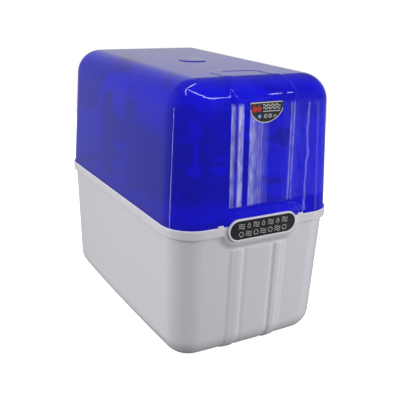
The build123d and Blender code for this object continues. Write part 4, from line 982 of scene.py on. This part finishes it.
def filter_sleeves():
    """A printed sleeve with a coloured stripe round the middle of each big filter."""
    paper = surface("sleeve_paper", (0.62, 0.66, 0.72), (0.7, 0.74, 0.8), (0.4, 0.5))
    colours = {
        "carbon_block_filter": (0.05, 0.3, 0.14),
        "carbon_filter": (0.6, 0.24, 0.03),
        "sediment_filter": (0.03, 0.14, 0.5),
    }
    for name, colour in colours.items():
        low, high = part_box(name)
        radius = (high.x - low.x) / 2 / MM
        centre = ((low.x + high.x) / 2 / MM, 0.0, (low.z + high.z) / 2 / MM)
        light = tuple(1.25 * c for c in colour)
        stripe = surface(name + "_ink", colour, light, (0.35, 0.45))
        sleeve = band_section(SLEEVE_ENDS, radius, radius + 0.12)
        band = band_section(STRIPE_ENDS, radius + 0.1, radius + 0.2)
        turned(name + "_sleeve", sleeve, centre, (0, 1, 0), paper, "base")
        turned(name + "_stripe", band, centre, (0, 1, 0), stripe, "base")


def plunger_spring(material):
    """The solenoid's spring, as a fixed copy of the CAD part's mesh on the base; on the real valve its
    upper end stays and it shortens as the plunger lifts.
    """
    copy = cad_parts["solenoid_spring"].data.copy()
    spring = add_object("spring_coil", copy, material, "base", sharp=40)
    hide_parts("solenoid_spring")
    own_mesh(spring)


# ---- Camera, lights and floor ----
CAMERA_AZIMUTH = -30.16
CAMERA_ELEVATION = 18.84
CAMERA_ROLL = 2.01
CAMERA_PLACE = (-0.4736, -0.8533, 0.4950)
CAMERA_LENS = 58.82


def make_camera():
    azimuth = math.radians(CAMERA_AZIMUTH)
    elevation = math.radians(CAMERA_ELEVATION)
    roll = math.radians(CAMERA_ROLL)
    level_share = math.cos(elevation)
    back = Vector((math.sin(azimuth) * level_share, -math.cos(azimuth) * level_share, math.sin(elevation)))
    right = (-back).cross(Vector((0, 0, 1))).normalized()
    up = right.cross(-back)
    turned_right = right * math.cos(roll) + up * math.sin(roll)
    turned_up = up * math.cos(roll) - right * math.sin(roll)
    data = bpy.data.cameras.new("camera")
    data.sensor_width = 36.0
    data.lens = CAMERA_LENS
    data.clip_start = 0.02
    data.clip_end = 50.0
    camera = placed("camera", data)
    rotation = Matrix((turned_right, turned_up, back)).transposed()
    camera.matrix_world = Matrix.Translation(CAMERA_PLACE) @ rotation.to_4x4()
    bpy.context.scene.camera = camera
    bpy.context.scene.view_settings.view_transform = "Standard"


def emission_material(name, strength):
    made = bpy.data.materials.new(name)
    made.use_nodes = True
    tree = made.node_tree
    tree.nodes.clear()
    glow = tree.nodes.new("ShaderNodeEmission")
    glow.inputs["Color"].default_value = (1, 1, 1, 1)
    glow.inputs["Strength"].default_value = strength
    output = tree.nodes.new("ShaderNodeOutputMaterial")
    tree.links.new(glow.outputs["Emission"], output.inputs["Surface"])
    return made


def reflector(name, points, strength):
    """A glowing card, seen only as a reflection. Points are its corners in metres."""
    mesh = bpy.data.meshes.new(name)
    mesh.from_pydata(points, [], [tuple(range(len(points)))])
    card = placed(name, mesh)
    mesh.materials.append(emission_material(name, strength))
    card.visible_camera = False
    card.visible_diffuse = False
    card.visible_shadow = False
    card.visible_transmission = False


def curved_reflector(name, radius, start, end, low, high, strength, parts=16):
    """A glowing screen that curves round the object between two azimuths in degrees.

    strength gives the glow for a share of the way from start to end.
    """
    angles = np.radians(np.linspace(start, end, parts + 1))
    for i in range(parts):
        a, b = angles[i], angles[i + 1]
        edges = ((a, low), (b, low), (b, high), (a, high))
        corners = [(radius * math.cos(angle), radius * math.sin(angle), z) for angle, z in edges]
        share = (i + 0.5) / parts
        reflector(f"{name}_{i}", corners, strength(share))


def soft_light(name, position, size, power):
    data = bpy.data.lights.new(name, "AREA")
    data.shape = "RECTANGLE"
    data.size, data.size_y = size
    data.energy = power
    lamp = placed(name, data)
    lamp.location = position
    lamp.rotation_mode = "QUATERNION"
    lamp.rotation_quaternion = (Vector(position) - Vector((0, 0, 0.2))).to_track_quat("Z", "Y")
    lamp.visible_glossy = False
    lamp.visible_camera = False


def make_world():
    """White where the camera sees it directly, and dim for everything else."""
    world = bpy.data.worlds.new("studio")
    bpy.context.scene.world = world
    world.use_nodes = True
    tree = world.node_tree
    tree.nodes.clear()
    path = tree.nodes.new("ShaderNodeLightPath")
    mix = tree.nodes.new("ShaderNodeMixShader")
    output = tree.nodes.new("ShaderNodeOutputWorld")
    for socket, strength in ((1, 0.18), (2, 1.0)):
        background = tree.nodes.new("ShaderNodeBackground")
        background.inputs["Color"].default_value = (1, 1, 1, 1)
        background.inputs["Strength"].default_value = strength
        tree.links.new(background.outputs["Background"], mix.inputs[socket])
    tree.links.new(path.outputs["Is Camera Ray"], mix.inputs["Fac"])
    tree.links.new(mix.outputs["Shader"], output.inputs["Surface"])


def make_floor():
    """A pale floor that is almost as bright as the background, and takes only a faint shadow."""
    work = bmesh.new()
    bmesh.ops.create_circle(work, cap_ends=True, segments=96, radius=1.5)
    mesh = bpy.data.meshes.new("floor")
    work.to_mesh(mesh)
    work.free()
    floor = placed("floor", mesh)
    made, _, shader = new_material("floor")
    shader.inputs["Base Color"].default_value = (0.9, 0.9, 0.9, 1)
    shader.inputs["Roughness"].default_value = 0.9
    shader.inputs["Specular IOR Level"].default_value = 0.0
    shader.inputs["Emission Color"].default_value = (1, 1, 1, 1)
    shader.inputs["Emission Strength"].default_value = 0.85
    mesh.materials.append(made)
    floor.location.z = -0.0005
    floor.visible_glossy = False
    floor.visible_diffuse = False


def aimed_card(name, place, azimuth, elevation, distance, half_width, half_height, strength):
    """A glowing card, in one direction (in degrees) from a place on the case. Sizes in metres."""
    turn = math.radians(azimuth)
    rise = math.radians(elevation)
    ahead = Vector((math.cos(turn) * math.cos(rise), math.sin(turn) * math.cos(rise), math.sin(rise)))
    side = Vector((-math.sin(turn), math.cos(turn), 0))
    up = side.cross(ahead)
    centre = Vector(place) + ahead * distance
    corners = [
        centre + side * i * half_width + up * j * half_height
        for i, j in ((-1, -1), (1, -1), (1, 1), (-1, 1))
    ]
    reflector(name, corners, strength)


def ribbon(name, spine, height, strength):
    """A glowing ribbon in a level plane, as (x, y, width) places along its spine, in metres."""
    places = np.array([(x, y) for x, y, _ in spine])
    along = np.gradient(places, axis=0)
    along /= np.linalg.norm(along, axis=1)[:, None]
    for i in range(len(spine) - 1):
        corners = []
        for k, side in ((i, -1), (i, 1), (i + 1, 1), (i + 1, -1)):
            half = side * spine[k][2] / 2
            corners.append((places[k][0] - along[k][1] * half, places[k][1] + along[k][0] * half, height))
        reflector(f"{name}_{i}", corners, strength)


def make_lights():
    soft_light("top_light", (-0.4, 0.2, 2.2), (1.8, 1.8), 17)
    soft_light("left_light", (-2.2, 0.3, 0.9), (1.4, 1.4), 42)
    soft_light("front_light", (1.5, -1.85, 0.9), (1.4, 1.4), 50)
    soft_light("back_light", (0.4, 2.2, 1.4), (1.6, 1.6), 24)
    curved_reflector("back_low", 3.0, 25, 61, -2.4, 1.12, lambda t: 0.5, 5)
    curved_reflector("back_tall", 3.0, 61, 160, -2.4, 3.2, lambda t: 0.36 + 0.14 * max(0.0, 1 - 3 * t))
    curved_reflector("softbox", 1.6, -44, -34, -1.0, 0.35, lambda t: 0.8, 4)
    aimed_card("corner_strip", (-0.118, -0.17, 0.295), 163.5, -9, 0.75, 0.010, 0.20, 10.0)
    aimed_card("right_strip", (0.07, -0.196, 0.30), -50.5, -9, 1.5, 0.012, 0.30, 2.4)
    ribbon_z = 1.37
    over = [(-0.9, -0.30, 0.05), (-0.53, 0.05, 0.06), (-0.2, 0.08, 0.07), (0.15, 0.21, 0.05)]
    ribbon("top_ribbon", over, ribbon_z, 9.0)
    across = [(-0.46, -0.07, 0.05), (-0.35, -0.46, 0.08), (-0.18, -0.74, 0.1), (0.13, -1.05, 0.13),
              (0.50, -1.24, 0.16), (0.86, -1.34, 0.18)]
    ribbon("front_ribbon", across, ribbon_z, 9.0)
    sky_z = 2.4
    sky = [(-2, -0.6, sky_z), (2, -0.6, sky_z), (2, 2.5, sky_z), (-2, 2.5, sky_z)]
    reflector("overhead", sky, 0.22)


# ---- Build ----
def build():
    """Makes every visible piece, dresses the CAD nodes, and sets the stage."""
    materials = slot_materials()
    dress_cad_nodes(materials)
    blue = blue_plastic()
    white = white_plastic()

    cover = add_object("cover_shell", cover_mesh(), blue, "cover", sharp=50)
    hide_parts("cover")
    cut(cover, NOTCH_LOW, NOTCH_HIGH, NOTCH_R)
    line_inside(cover, blue_lining())
    tub = add_object("tub_shell", tub_mesh(), white, "base", sharp=50)
    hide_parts("base_tub")
    back_recess(tub, white)
    tray_posts(white)
    filter_sleeves()

    trim = materials["white_trim"]
    bezel = add_object("badge_rim", bezel_mesh(), trim, "base", sharp=60)
    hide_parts("badge_bezel")
    silver = surface("emblem_silver", (0.5, 0.5, 0.52), (0.64, 0.64, 0.66), (0.25, 0.35), metal=0.3)
    plate_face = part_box("badge_plate")[0].y / MM
    emblem = strip_mesh("badge_emblem", badge_emblem_paths(), 0.85, lambda x, z: plate_face + 0.02)
    add_object("badge_emblem", emblem, silver, "base", sharp=30)
    label = add_object("label_skin", label_mesh(), materials["label_dark"], "cover", sharp=50)
    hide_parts("front_label")
    for name, mesh, colour in label_marks():
        pale = tuple(min(1.0, c * 1.15) for c in colour)
        add_object(name, mesh, surface(name, colour, pale, (0.35, 0.45)), "cover", sharp=30)

    for side in (-1, 1):
        name = "rim_tab_left" if side < 0 else "rim_tab_right"
        low = (TAB_X * side - TAB_HALF_W, -202.2, 195.5)
        high = (TAB_X * side + TAB_HALF_W, -200.4, 198.2)
        rounded_block(name, low, high, 0.7, trim)

    top_disc(blue)
    plunger_spring(materials["steel"])
    make_camera()
    make_world()
    make_floor()
    make_lights()


build()
